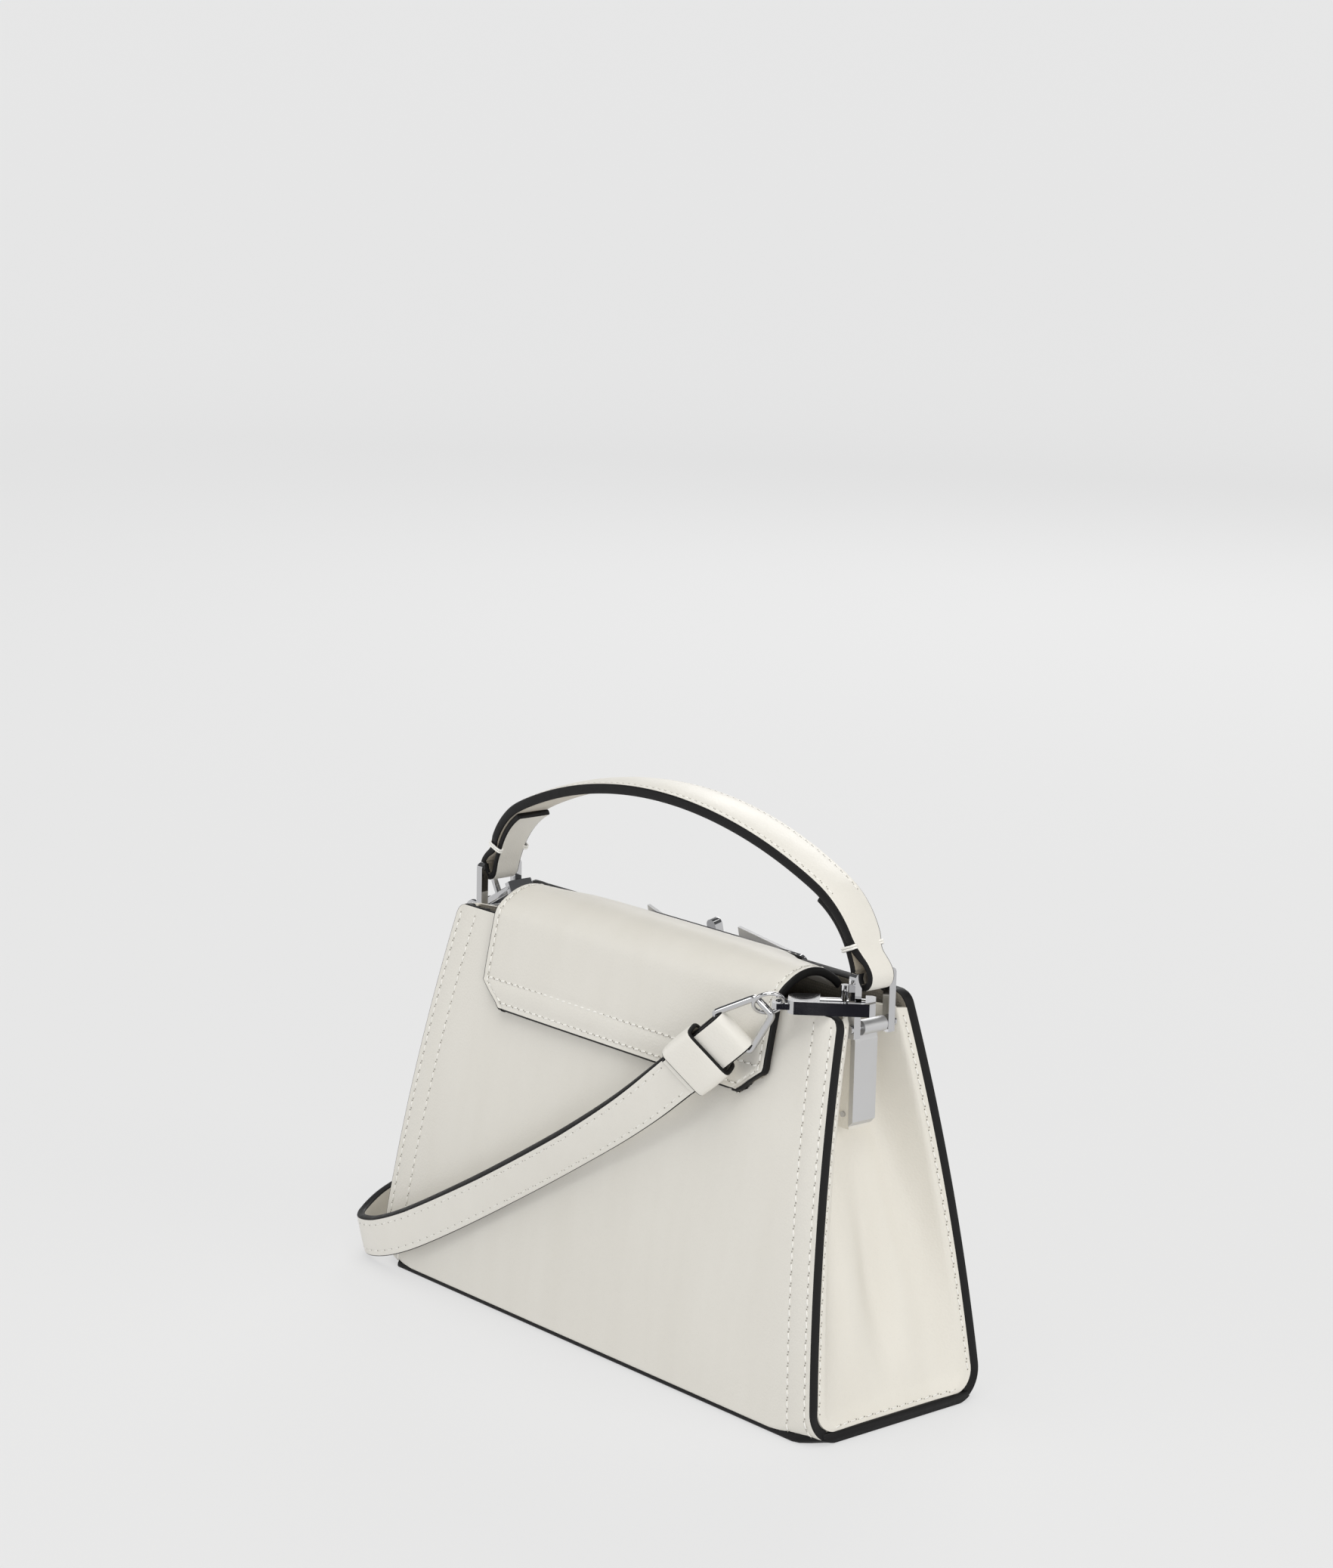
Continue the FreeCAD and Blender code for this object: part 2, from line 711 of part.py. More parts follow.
# the turned back ends of the handle, sewn to its inner face
for side, s in (("left", 1), ("right", -1)):
    sk = free_sketch("handle_tab_section_" + side, "XZ")
    a, b = math.radians(69.6), math.radians(31.0)
    loop(
        sk,
        [
            bend(SB - HT - 0.1, a, s),
            bend(SB - HT - 0.1, b, s),
            bend(SB - HT - 2.3, b, s),
            bend(SB - HT - 2.3, a, s),
        ],
        {0: (SB - HT - 0.1, -s), 2: (SB - HT - 2.3, s)},
    )
    node(
        slab("handle_tab_" + side, sk, 2 * D.handle_half_end + 1.2),
        "handle_tab_" + side,
    )

# ------------------------------------------------- rings, pins and brackets
for side, s in (("left", 1), ("right", -1)):
    ring = body("handle_ring_" + side)
    sk = body_sketch(ring, "ring_outline_" + side, "YZ")
    o, g, z0, z1 = D.ring_half, D.ring_gap, D.ring_low_z, D.bar_z + 0.5 * D.bar_h
    loop(
        sk,
        [
            (o, z0),
            (o, z1 - 2),
            (o - 2, z1),
            (2 - o, z1),
            (-o, z1 - 2),
            (-o, z0),
            (-g, z0),
            (-g, z1 - D.bar_h),
            (g, z1 - D.bar_h),
            (g, z0),
        ],
        {1: (2.0, -1), 3: (2.0, -1)},
    )
    pad(ring, "ring_pad_" + side, sk, D.ring_t)
    sk = body_sketch(ring, "ring_hole_" + side, "XZ")
    disc(sk, 0, D.pin_z, D.pin_r + 0.02)
    cut_through(ring, "ring_pin_hole_" + side, sk)
    node(
        ring,
        "handle_ring_" + side,
        FreeCAD.Placement(V(s * D.pin_x.v, 0, 0), FreeCAD.Rotation()),
    )
    bind(ring, "Placement.Base.x", s * D.pin_x)

    pin = body("hinge_pin_" + side)
    sk = body_sketch(pin, "pin_profile_" + side, "XY")
    k = D.ring_half + 0.1
    loop(
        sk,
        [
            (0, -(k + 0.8)),
            (D.pin_r + 0.7, -(k + 0.8)),
            (D.pin_r + 0.7, -k),
            (D.pin_r, -k),
            (D.pin_r, k),
            (D.pin_r + 0.7, k),
            (D.pin_r + 0.7, k + 0.8),
            (0, k + 0.8),
        ],
    )
    rev = pin.newObject("PartDesign::Revolution", "pin_turned_" + side)
    rev.Profile, rev.ReferenceAxis, rev.Angle = sk, (sk, ["V_Axis"]), 360
    node(
        pin,
        "hinge_pin_" + side,
        FreeCAD.Placement(V(s * D.pin_x.v, 0, D.pin_z.v), FreeCAD.Rotation()),
    )
    bind(pin, "Placement.Base.x", s * D.pin_x)
    bind(pin, "Placement.Base.z", D.pin_z)

    # the plate and its knuckle are one rolled strip of metal
    br = body("bracket_plate_" + side)
    sk = body_sketch(br, "bracket_section_" + side, "XZ")
    x1, x0, kx, kz, kr = D.plate_x, D.plate_x - D.plate_t, D.pin_x, D.pin_z, D.knuckle_r
    loop(
        sk,
        [
            (s * x0, D.plate_low_z),
            (s * x1, D.plate_low_z + 1.8),
            (s * x1, kz - 5.4),
            (s * (x1 - 0.5), kz - 3.4),
            (s * (kx - kr * 0.819), kz - kr * 0.574),
            (s * (kx - kr * 0.866), kz + kr * 0.5),
            (s * x0, kz + 0.6),
        ],
        {4: (kr, s * -1, "long")},
    )
    disc(sk, s * kx, kz, D.pin_r + D.pin_gap)
    pad(br, "bracket_pad_" + side, sk, D.plate_w)
    node(br, "bracket_plate_" + side)

    sk = free_sketch("bracket_block_section_" + side, "XZ")
    zt, zb = kz - 2.8, D.plate_low_z - 1.1
    lean = (D.gusset_knee_x.v - D.gusset_top_x.v) / (
        D.gusset_top_z.v - D.gusset_knee_z.v
    )
    loop(
        sk,
        [
            (s * (D.gusset_knee_x - (zt - D.gusset_knee_z) * lean + 0.05), zt),
            (s * (D.gusset_knee_x - (zb - D.gusset_knee_z) * lean + 0.05), zb),
            (s * (x0 - 0.05), zb),
            (s * (x0 - 0.05), zt),
        ],
    )
    node(slab("bracket_block_" + side, sk, D.block_w), "bracket_block_" + side)

    heads = []
    for face in (1, -1):
        for x, z in ((93.2, 127.2), (93.6, 102.4)):
            c = doc.addObject("Part::Cylinder", "screw_head")
            bind(c, "Radius", D.screw_r)
            bind(c, "Height", D.screw_h)
            c.Placement = FreeCAD.Placement(
                V(s * x, face * (D.block_w.v / 2 + 0.02), z),
                FreeCAD.Rotation(V(0, 0, 1), V(0, face, 0)),
            )
            heads.append(c)
    group = doc.addObject("Part::Compound", "bracket_screws_" + side)
    group.Links = heads
    node(group, "bracket_screws_" + side)

# ------------------------------------------------------- the strap's clips
# A clip's frame: X from its nose to its tail, Y across, Z up. mirror swaps
# the side of the window that the bolt closes.
TILT = 30.0
AIM = 45.7
right_turn = FreeCAD.Rotation(V(0, 0, 1), AIM)
right_nose = V(-100.5, 7.9, 141.5) - right_turn.multVec(V(6.9, 0, 0))
left_turn = FreeCAD.Rotation(V(0, 1, 0), TILT)
left_nose = V(100.5, -6.2, 140.0) - left_turn.multVec(V(8.8, 0, 0))
CLIPS = (
    ("right", 1, FreeCAD.Placement(right_nose, right_turn)),
    ("left", -1, FreeCAD.Placement(left_nose, left_turn)),
)
for side, mir, place in CLIPS:
    clip = body("clip_frame_" + side)
    sk = body_sketch(clip, "clip_outline_" + side, "XY")
    far, near = D.bolt_q + D.bolt_r, D.clip_half + D.clip_bar
    loop(
        sk,
        [
            (1.2, -mir * far),
            (D.clip_end, -mir * far),
            (D.clip_end, mir * D.clip_half),
            (D.clip_block, mir * D.clip_half),
            (D.clip_block, -mir * far),
            (D.clip_tail - 2, -mir * far),
            (D.clip_tail, -mir * (far - 2)),
            (D.clip_tail, mir * (near - 2)),
            (D.clip_tail - 2, mir * near),
            (2, mir * near),
            (0, mir * (near - 2)),
            (0, -mir * (far - 1.2)),
        ],
    )
    pad(clip, "clip_pad_" + side, sk, D.clip_h)
    sk = body_sketch(clip, "clip_tail_outline_" + side, "XY")
    loop(
        sk,
        [
            (D.clip_tail - 0.5, -4.2),
            (D.clip_len - 1.5, -4.2),
            (D.clip_len, -2.7),
            (D.clip_len, 2.7),
            (D.clip_len - 1.5, 4.2),
            (D.clip_tail - 0.5, 4.2),
        ],
    )
    disc(sk, D.clip_len - 4.0, 0, 2.9)
    pad(clip, "clip_tail_pad_" + side, sk, 2.0)
    doc.recompute()
    before = clip.Shape.Volume
    sk = body_sketch(clip, "clip_bore_outline_" + side, "YZ", 1.6)
    disc(sk, -mir * D.bolt_q, 0, D.bolt_r + D.bolt_gap)
    hole = clip.newObject("PartDesign::Pocket", "clip_bore_" + side)
    hole.Profile, hole.Reversed = sk, True
    bind(hole, "Length", D.clip_tail - 3.8)
    doc.recompute()
    print("clip bore", side, "takes", round(before - clip.Shape.Volume, 2))
    node(clip, "clip_frame_" + side, place)

    bolt = body("clip_bolt_" + side)
    sk = body_sketch(bolt, "bolt_section_" + side, "YZ", 1.9)
    disc(sk, -mir * D.bolt_q, 0, D.bolt_r)
    pad(bolt, "bolt_rod_" + side, sk, 18.2, middle=False)
    sk = body_sketch(bolt, "stud_section_" + side, "XY")
    disc(sk, D.stud_s, -mir * D.bolt_q, D.stud_r)
    pad(bolt, "stud_" + side, sk, D.stud_h, middle=False)
    node(bolt, "clip_bolt_" + side, place)

# round links through the tails, and the strap rings that hang in them
e_right = V(0.715, 0.215, -0.663)
e_right.normalize()
w_right = V(0.530, 0.477, 0.702)
w_right = w_right - e_right * w_right.dot(e_right)
w_right.normalize()
axis_right = V(0.666, -0.432, 0.608)
axis_right.normalize()
link_right = right_nose + right_turn.multVec(V(35.4, 0, 0))
e_left = V(0.10, 0.0, -0.995)
e_left.normalize()
w_left = V(0, 1, 0)
link_left = left_nose + left_turn.multVec(V(35.0, 0, 0))
ENDS = {}
for side, centre, axis, e, w, hang in (
    ("right", link_right, axis_right, e_right, w_right, 2.1),
    ("left", link_left, w_left, e_left, w_left, 2.5),
):
    link = doc.addObject("Part::Torus", "round_link_" + side)
    bind(link, "Radius1", D.link_r)
    bind(link, "Radius2", D.link_wire)
    node(
        link,
        "round_link_" + side,
        FreeCAD.Placement(centre, FreeCAD.Rotation(V(0, 0, 1), axis)),
    )
    e_in = e - axis * e.dot(axis)
    e_in.normalize()
    bar = centre + e_in * hang + e * (D.dee_len.v)
    dee = body("strap_ring_" + side)
    sk = body_sketch(dee, "dee_outline_" + side, "XY")
    half, tip, ln, b2 = D.dee_half, D.dee_tip, D.dee_len, 0.5 * D.dee_wire
    loop(sk, [(-half, -b2), (half, -b2), (tip, ln + b2), (-tip, ln + b2)])
    loop(
        sk,
        [
            (D.dee_wire - half - 0.2, b2),
            (half - D.dee_wire + 0.2, b2),
            (tip - D.dee_wire + 0.6, ln - b2),
            (D.dee_wire - tip - 0.6, ln - b2),
        ],
    )
    pad(dee, "dee_pad_" + side, sk, D.dee_wire)
    rot = FreeCAD.Rotation(w, e * -1, w.cross(e * -1), "XYZ")
    node(dee, "strap_ring_" + side, FreeCAD.Placement(bar, rot))
    ENDS[side] = (bar, e, w)

# ---------------------------------------------------------------- the strap
# A flat band along straight runs joined by tangent arcs, from the right strap
# ring down across the back and round the lower left corner; then one long
# doubled turn on the floor along the front, tied, and up to the left ring.
# FACE is the way its outer face looks at each point of the route.
gap_end = D.dee_wire.v / 2 + 0.3
first = ENDS["right"][0] + ENDS["right"][1] * gap_end
last = ENDS["left"][0] + ENDS["left"][1] * gap_end
ROUTE = [
    first,
    first + ENDS["right"][1] * 25.5,
    V(-26.3, 39.8, 93.6),
    V(3.7, 41.0, 73.4),
    V(46.8, 43.5, 46.6),
    V(87.0, 45.5, 23.4),
    V(107.5, 46.3, 13.6),
    V(122.0, 45.2, 9.8),
    V(131.5, 38.0, 9.5),
    V(137.5, 22.0, 14.2),
    V(139.5, -3.0, 18.5),
    V(135.5, -27.0, 15.5),
    V(122.0, -45.5, 10.4),
    V(96.0, -53.5, 9.0),
    V(52.0, -54.5, 9.0),
    V(8.0, -54.0, 9.0),
    V(-19.0, -55.5, 9.0),
    V(-31.5, -68.0, 9.0),
    V(-31.5, -85.7, 9.0),
    V(-19.0, -98.2, 9.0),
    V(4.0, -98.0, 9.0),
    V(34.0, -81.0, 9.0),
    V(60.0, -65.0, 9.0),
    V(84.0, -60.9, 9.0),
    V(108.0, -60.3, 9.2),
    V(131.0, -53.0, 12.4),
    V(144.5, -38.0, 20.5),
    V(146.0, -23.0, 33.0),
    V(140.5, -12.5, 47.0),
    V(133.5, -7.6, 60.0),
    last + ENDS["left"][1] * 25.5,
    last,
]
FACE = [
    (-0.432, 0.864, -0.261),
    (-0.432, 0.864, -0.261),
    (-0.46, 0.78, -0.42),
    (-0.466, 0.718, -0.515),
    (-0.42, 0.75, -0.51),
    (-0.2, 0.86, -0.47),
    (0.1, 0.9, -0.4),
    (0.42, 0.87, -0.26),
    (0.82, 0.56, -0.1),
    (1, 0.15, 0),
    (1, -0.1, 0),
    (0.85, -0.53, 0),
    (0.5, -0.87, 0),
    (0.12, -1, 0),
    (0, -1, 0),
    (0, -1, 0),
    (0.38, -0.92, 0),
    (0.92, -0.38, 0),
    (0.92, 0.38, 0),
    (0.38, 0.92, 0),
    (-0.26, 0.97, 0),
    (-0.5, 0.87, 0),
    (-0.36, 0.93, 0),
    (-0.1, 0.99, 0),
    (-0.16, 0.99, 0),
    (-0.55, 0.84, 0),
    (-0.91, 0.41, 0),
    (-1, 0.1, 0),
    (-1, 0, -0.1),
    (-1, 0, -0.1),
    (-1, 0, -0.1),
    (-1, 0, -0.1),
]

def path_edges(points):
    """Straight runs joined by tangent arcs, each as large as its runs allow."""
    edges, radii, here = [], [], points[0]
    for a, b, c in zip(points, points[1:], points[2:]):
        u, v = b - a, c - b
        turn = u.getAngle(v)
        cut = 0.45 * min(u.Length, v.Length)
        radii.append(cut / math.tan(turn / 2))
        u.normalize()
        v.normalize()
        s0, s1 = b - u * cut, b + v * cut
        inward = v - u
        inward.normalize()
        reach = radii[-1] / math.cos(turn / 2)
        mid = b + inward * (reach - radii[-1])
        edges.append(Part.LineSegment(here, s0).toShape())
        edges.append(Part.Arc(s0, mid, s1).toShape())
        here = s1
    edges.append(Part.LineSegment(here, points[-1]).toShape())
    return edges, radii


edges, radii = path_edges(ROUTE)
path = Part.Wire(edges)
print("strap radii", [round(r, 1) for r in radii])
print("strap length", round(path.Length, 1))


def stations():
    """Points along the path with the strap's tangent and face directions."""
    out, done = [], 0.0
    runs = [0.0]
    for a, b in zip(ROUTE, ROUTE[1:]):
        runs.append(runs[-1] + (b - a).Length)
    for i, edge in enumerate(edges):
        steps = 1 if edge.Curve.TypeId == "Part::GeomLine" else 3
        for k in range(steps if i < len(edges) - 1 else steps + 1):
            u = edge.FirstParameter + (edge.LastParameter - edge.FirstParameter) * k / steps
            out.append((edge.valueAt(u), edge.tangentAt(u), done + edge.Length * k / steps))
        done += edge.Length
    framed = []
    for p, tan, at in out:
        d = at / done * runs[-1]
        i = max(j for j in range(len(ROUTE) - 1) if runs[j] <= d + 1e-9)
        f = min((d - runs[i]) / (runs[i + 1] - runs[i]), 1.0)
        face = V(*FACE[i]) * (1 - f) + V(*FACE[i + 1]) * f
        face = face - tan * face.dot(tan)
        face.normalize()
        framed.append((p, tan, face, tan.cross(face)))
    return framed


def band(frames, width, thick, lift=0.0):
    """A closed flat band with a rectangular section along the frames."""
    rows = []
    for p, tan, face, side in frames:
        c = p + face * lift
        rows.append(
            [
                c + side * (width / 2) + face * (thick / 2),
                c - side * (width / 2) + face * (thick / 2),
                c - side * (width / 2) - face * (thick / 2),
                c + side * (width / 2) - face * (thick / 2),
            ]
        )
    faces = []

    def tri(a, b, c):
        faces.append(Part.Face(Part.makePolygon([a, b, c, a])))

    for r0, r1 in zip(rows, rows[1:]):
        for k in range(4):
            a, b, c, d = r0[k], r0[(k + 1) % 4], r1[(k + 1) % 4], r1[k]
            tri(a, b, c)
            tri(a, c, d)
    for r in (rows[0], rows[-1]):
        tri(r[0], r[1], r[2])
        tri(r[0], r[2], r[3])
    shell = Part.makeShell(faces)
    shell.sewShape()
    solid = Part.makeSolid(shell)
    if solid.Volume < 0:
        solid.reverse()
    return solid


frames = stations()
strap = doc.addObject("Part::Feature", "strap")
strap.Shape = band(frames, D.strap_w.v, D.strap_t.v)
strap.Placement = FreeCAD.Placement()
node(strap, "strap")
print(
    "strap volume",
    round(strap.Shape.Volume, 1),
    "section times length",
    round(D.strap_w.v * D.strap_t.v * path.Length, 1),
)

# at each end the strap is turned back on its outer face and held by a keeper
for side in ("right", "left"):
    bar, e, w = ENDS[side]
    face = frames[0][2] if side == "right" else frames[-1][2]
    across = e.cross(face)
    rot = FreeCAD.Rotation(e, across, e.cross(across), "XYZ")
    up = 1 if rot.multVec(V(0, 0, 1)).dot(face) > 0 else -1
    fold = body("strap_fold_" + side)
    sk = body_sketch(fold, "fold_outline_" + side, "XY")
    loop(sk, [(gap_end, -7.8), (26.4, -7.8), (26.4, 7.8), (gap_end, 7.8)])
    pad(fold, "fold_pad_" + side, sk, 2.2)
    node(
        fold,
        "strap_fold_" + side,
        FreeCAD.Placement(bar + face * (D.strap_t.v / 2 + 0.12 + 1.1), rot),
    )
    keep = body("strap_keeper_" + side)
    sk = body_sketch(keep, "keeper_section_" + side, "YZ", 9.6)
    lo, hi = -up * (D.strap_t.v / 2 + 0.6), up * (D.strap_t.v / 2 + 2.7)
    loop(sk, [(-10.4, lo - up * 1.3), (10.4, lo - up * 1.3), (10.4, hi + up * 1.5), (-10.4, hi + up * 1.5)])
    loop(sk, [(-8.6, lo), (8.6, lo), (8.6, hi), (-8.6, hi)])
    pad(keep, "keeper_pad_" + side, sk, 14.0, middle=False)
    node(keep, "strap_keeper_" + side, FreeCAD.Placement(bar, rot))

# a narrow leather band ties the doubled length of strap together
tie = body("strap_tie")
sk = body_sketch(tie, "tie_section", "YZ", 80.0)
loop(sk, [(-65.1, 0.05), (-49.9, 0.05), (-49.9, 18.1), (-65.1, 18.1)])
loop(sk, [(-63.9, 0.85), (-51.1, 0.85), (-51.1, 17.15), (-63.9, 17.15)])
pad(tie, "tie_pad", sk, 9.0, middle=False)
node(tie, "strap_tie")

# ---------------------------------------------------------------- write out
doc.recompute()
bad = [o.Label for o in doc.Objects if "Invalid" in o.State or "Error" in o.State]
for label, obj in NODES:
    shape = obj.Shape
    if shape.isNull() or not shape.isValid() or not shape.Solids:
        bad.append(label)
if bad:
    raise RuntimeError("failed objects: %s" % bad)
os.makedirs("parts", exist_ok=True)
for old in os.listdir("parts"):
    if old.endswith(".step"):
        os.remove(os.path.join("parts", old))
for label, obj in NODES:
    obj.Shape.exportStep("parts/%s.step" % label)
    b = obj.Shape.BoundBox
    print(
        "%-20s %2d solid  %9.1f mm3  x %7.1f %7.1f  y %6.1f %6.1f  z %6.1f %6.1f"
        % (label, len(obj.Shape.Solids), obj.Shape.Volume, b.XMin, b.XMax, b.YMin, b.YMax, b.ZMin, b.ZMax)
    )
print(len(NODES), "nodes")
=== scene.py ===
import math

import bpy
import numpy as np
from mathutils import Matrix, Vector


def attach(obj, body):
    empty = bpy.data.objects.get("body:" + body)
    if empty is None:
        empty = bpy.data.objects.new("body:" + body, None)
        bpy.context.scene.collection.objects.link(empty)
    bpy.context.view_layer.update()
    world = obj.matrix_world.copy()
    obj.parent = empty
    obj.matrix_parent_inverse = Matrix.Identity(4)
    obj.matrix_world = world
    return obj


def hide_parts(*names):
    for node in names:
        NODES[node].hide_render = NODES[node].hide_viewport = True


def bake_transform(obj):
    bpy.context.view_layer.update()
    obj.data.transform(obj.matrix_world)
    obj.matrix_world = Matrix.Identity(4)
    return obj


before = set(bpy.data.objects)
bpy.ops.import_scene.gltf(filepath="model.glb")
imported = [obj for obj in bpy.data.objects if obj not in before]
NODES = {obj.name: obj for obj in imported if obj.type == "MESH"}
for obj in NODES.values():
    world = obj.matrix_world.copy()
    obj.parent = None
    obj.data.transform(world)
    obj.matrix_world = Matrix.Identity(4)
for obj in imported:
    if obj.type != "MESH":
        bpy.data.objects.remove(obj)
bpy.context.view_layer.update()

MM = 0.001
SCENE = bpy.context.scene


# --------------------------------------------------------------- the camera
def make_camera():
    az, pitch, roll = math.radians(229.174), math.radians(11.382), math.radians(1.316)
    ahead = Vector(
        (
            -math.sin(az) * math.cos(pitch),
            math.cos(az) * math.cos(pitch),
            -math.sin(pitch),
        )
    )
    right = ahead.cross(Vector((0, 0, 1))).normalized()
    up = right.cross(ahead)
    right, up = (
        right * math.cos(roll) + up * math.sin(roll),
        up * math.cos(roll) - right * math.sin(roll),
    )
    data = bpy.data.cameras.new("camera")
    data.lens, data.sensor_width, data.clip_start, data.clip_end = 82.31, 36.0, 0.01, 60
    cam = bpy.data.objects.new("camera", data)
    m = Matrix.Identity(4)
    for i in range(3):
        m[i][0], m[i][1], m[i][2] = right[i], up[i], -ahead[i]
    m[0][3], m[1][3], m[2][3] = -0.92631, 0.80577, 0.44573
    cam.matrix_world = m
    SCENE.collection.objects.link(cam)
    SCENE.camera = cam


make_camera()


# ------------------------------------------------------------ small helpers
def unit(a):
    a = np.asarray(a, float)
    return a / np.maximum(np.linalg.norm(a, axis=-1, keepdims=True), 1e-12)


def new_object(name, verts, faces, mats, mat_index=None, smooth=True):
    me = bpy.data.meshes.new(name)
    me.from_pydata(np.asarray(verts).tolist(), [], [list(map(int, f)) for f in faces])
    for m in mats:
        me.materials.append(m)
    if mat_index is not None:
        me.polygons.foreach_set("material_index", np.asarray(mat_index, np.int32))
    if smooth:
        me.polygons.foreach_set("use_smooth", np.ones(len(me.polygons), bool))
    me.update()
    ob = bpy.data.objects.new(name, me)
    SCENE.collection.objects.link(ob)
    return ob


def settle(ob):
    """Applies an object's modifiers to its mesh."""
    bpy.context.view_layer.update()
    got = ob.evaluated_get(bpy.context.evaluated_depsgraph_get())
    me = bpy.data.meshes.new_from_object(got)
    old = ob.data
    ob.modifiers.clear()
    ob.data = me
    bpy.data.meshes.remove(old)
    me.polygons.foreach_set("use_smooth", np.ones(len(me.polygons), bool))
    me.name = ob.name
    return ob


def soften(ob, width, segments=3, angle=35):
    """A rounded edge on a CAD node, as a modifier."""
    b = ob.modifiers.new("edge", "BEVEL")
    b.width, b.segments, b.limit_method = width, segments, "ANGLE"
    b.angle_limit = math.radians(angle)
    b.use_clamp_overlap = True
    b.harden_normals = False
    return ob


def lengths(p):
    return np.concatenate([[0.0], np.cumsum(np.linalg.norm(np.diff(p, axis=0), axis=1))])


def resample(p, step, closed=False):
    p = np.asarray(p, float)
    if closed:
        p = np.vstack([p, p[:1]])
    s = lengths(p)
    n = max(int(round(s[-1] / step)), 2)
    t = np.linspace(0, s[-1], n + 1)
    out = np.stack([np.interp(t, s, p[:, i]) for i in range(p.shape[1])], axis=1)
    return out[:-1] if closed else out


def smooth_line(p, sigma, step, closed=False):
    """Evenly spaced points on a line whose kinks are rounded over about sigma."""
    p = resample(p, step, closed)
    k = int(max(round(4 * sigma / step), 1))
    w = np.exp(-0.5 * (np.arange(-k, k + 1) * step / sigma) ** 2)
    w /= w.sum()
    if closed:
        q = np.vstack([p[-k:], p, p[:k]])
    else:
        q = np.vstack([2 * p[0] - p[k:0:-1], p, 2 * p[-1] - p[-2 : -k - 2 : -1]])
    return np.stack([np.convolve(q[:, i], w, "valid") for i in range(p.shape[1])], axis=1)


def arc(p, q, r, side, n):
    """Points from p to q on an arc of radius r that bulges to the left (side 1)
    or right (side -1) of the way it runs."""
    p, q = np.array(p, float), np.array(q, float)
    way = q - p
    d = np.linalg.norm(way)
    left = np.array([-way[1], way[0]]) / d
    c = (p + q) / 2 - left * side * math.sqrt(max(r * r - d * d / 4, 0))
    a0, a1 = (math.atan2(*(k - c)[::-1]) for k in (p, q))
    if side > 0 and a1 > a0:
        a1 -= 2 * math.pi
    if side < 0 and a1 < a0:
        a1 += 2 * math.pi
    a = np.linspace(a0, a1, n + 1)
    return np.stack([c[0] + r * np.cos(a), c[1] + r * np.sin(a)], axis=1)


# --------------------------------------------------------------- materials
class Nodes:
    def __init__(self, name):
        self.mat = bpy.data.materials.new(name)
        self.mat.use_nodes = True
        self.t = self.mat.node_tree
        self.t.nodes.clear()
        self.out = self.t.nodes.new("ShaderNodeOutputMaterial")
        self.bsdf = self.t.nodes.new("ShaderNodeBsdfPrincipled")
        self.t.links.new(self.bsdf.outputs[0], self.out.inputs[0])
        self.where = self.t.nodes.new("ShaderNodeTexCoord").outputs["Object"]

    def node(self, kind, **values):
        n = self.t.nodes.new(kind)
        for k, v in values.items():
            if k in n.inputs:
                n.inputs[k].default_value = v
            else:
                setattr(n, k, v)
        return n

    def join(self, a, b):
        self.t.links.new(a, b)

    def noise(self, scale, detail=2.0, rough=0.5):
        n = self.node("ShaderNodeTexNoise", Scale=scale, Detail=detail, Roughness=rough)
        self.join(self.where, n.inputs["Vector"])
        return n.outputs["Fac"]

    def cells(self, scale, feature="F1"):
        n = self.node("ShaderNodeTexVoronoi", Scale=scale, feature=feature)
        self.join(self.where, n.inputs["Vector"])
        return n.outputs["Distance"]

    def span(self, value, lo, hi, to_lo, to_hi):
        n = self.t.nodes.new("ShaderNodeMapRange")
        n.inputs[1].default_value, n.inputs[2].default_value = lo, hi
        n.inputs[3].default_value, n.inputs[4].default_value = to_lo, to_hi
        self.join(value, n.inputs[0])
        return n.outputs[0]

    def add(self, a, b, op="ADD"):
        n = self.t.nodes.new("ShaderNodeMath")
        n.operation = op
        for i, x in enumerate((a, b)):
            if isinstance(x, (int, float)):
                n.inputs[i].default_value = x
            else:
                self.join(x, n.inputs[i])
        return n.outputs[0]

    def blend(self, fac, a, b):
        n = self.t.nodes.new("ShaderNodeMix")
        n.data_type = "RGBA"
        for i, x in ((6, a), (7, b)):
            if isinstance(x, (tuple, list)):
                n.inputs[i].default_value = (*x, 1.0)
            else:
                self.join(x, n.inputs[i])
        self.join(fac, n.inputs[0])
        return n.outputs[2]

    def set(self, **values):
        for k, v in values.items():
            s = self.bsdf.inputs[k.replace("_", " ")]
            if hasattr(v, "is_output"):
                self.join(v, s)
            elif isinstance(v, (tuple, list)) and len(v) == 3:
                s.default_value = (*v, 1.0)
            else:
                s.default_value = v

    def bump(self, height, strength, distance, under=None):
        n = self.t.nodes.new("ShaderNodeBump")
        n.inputs["Strength"].default_value = strength
        n.inputs["Distance"].default_value = distance
        self.join(height, n.inputs["Height"])
        if under is not None:
            self.join(under, n.inputs["Normal"])
        return n.outputs[0]


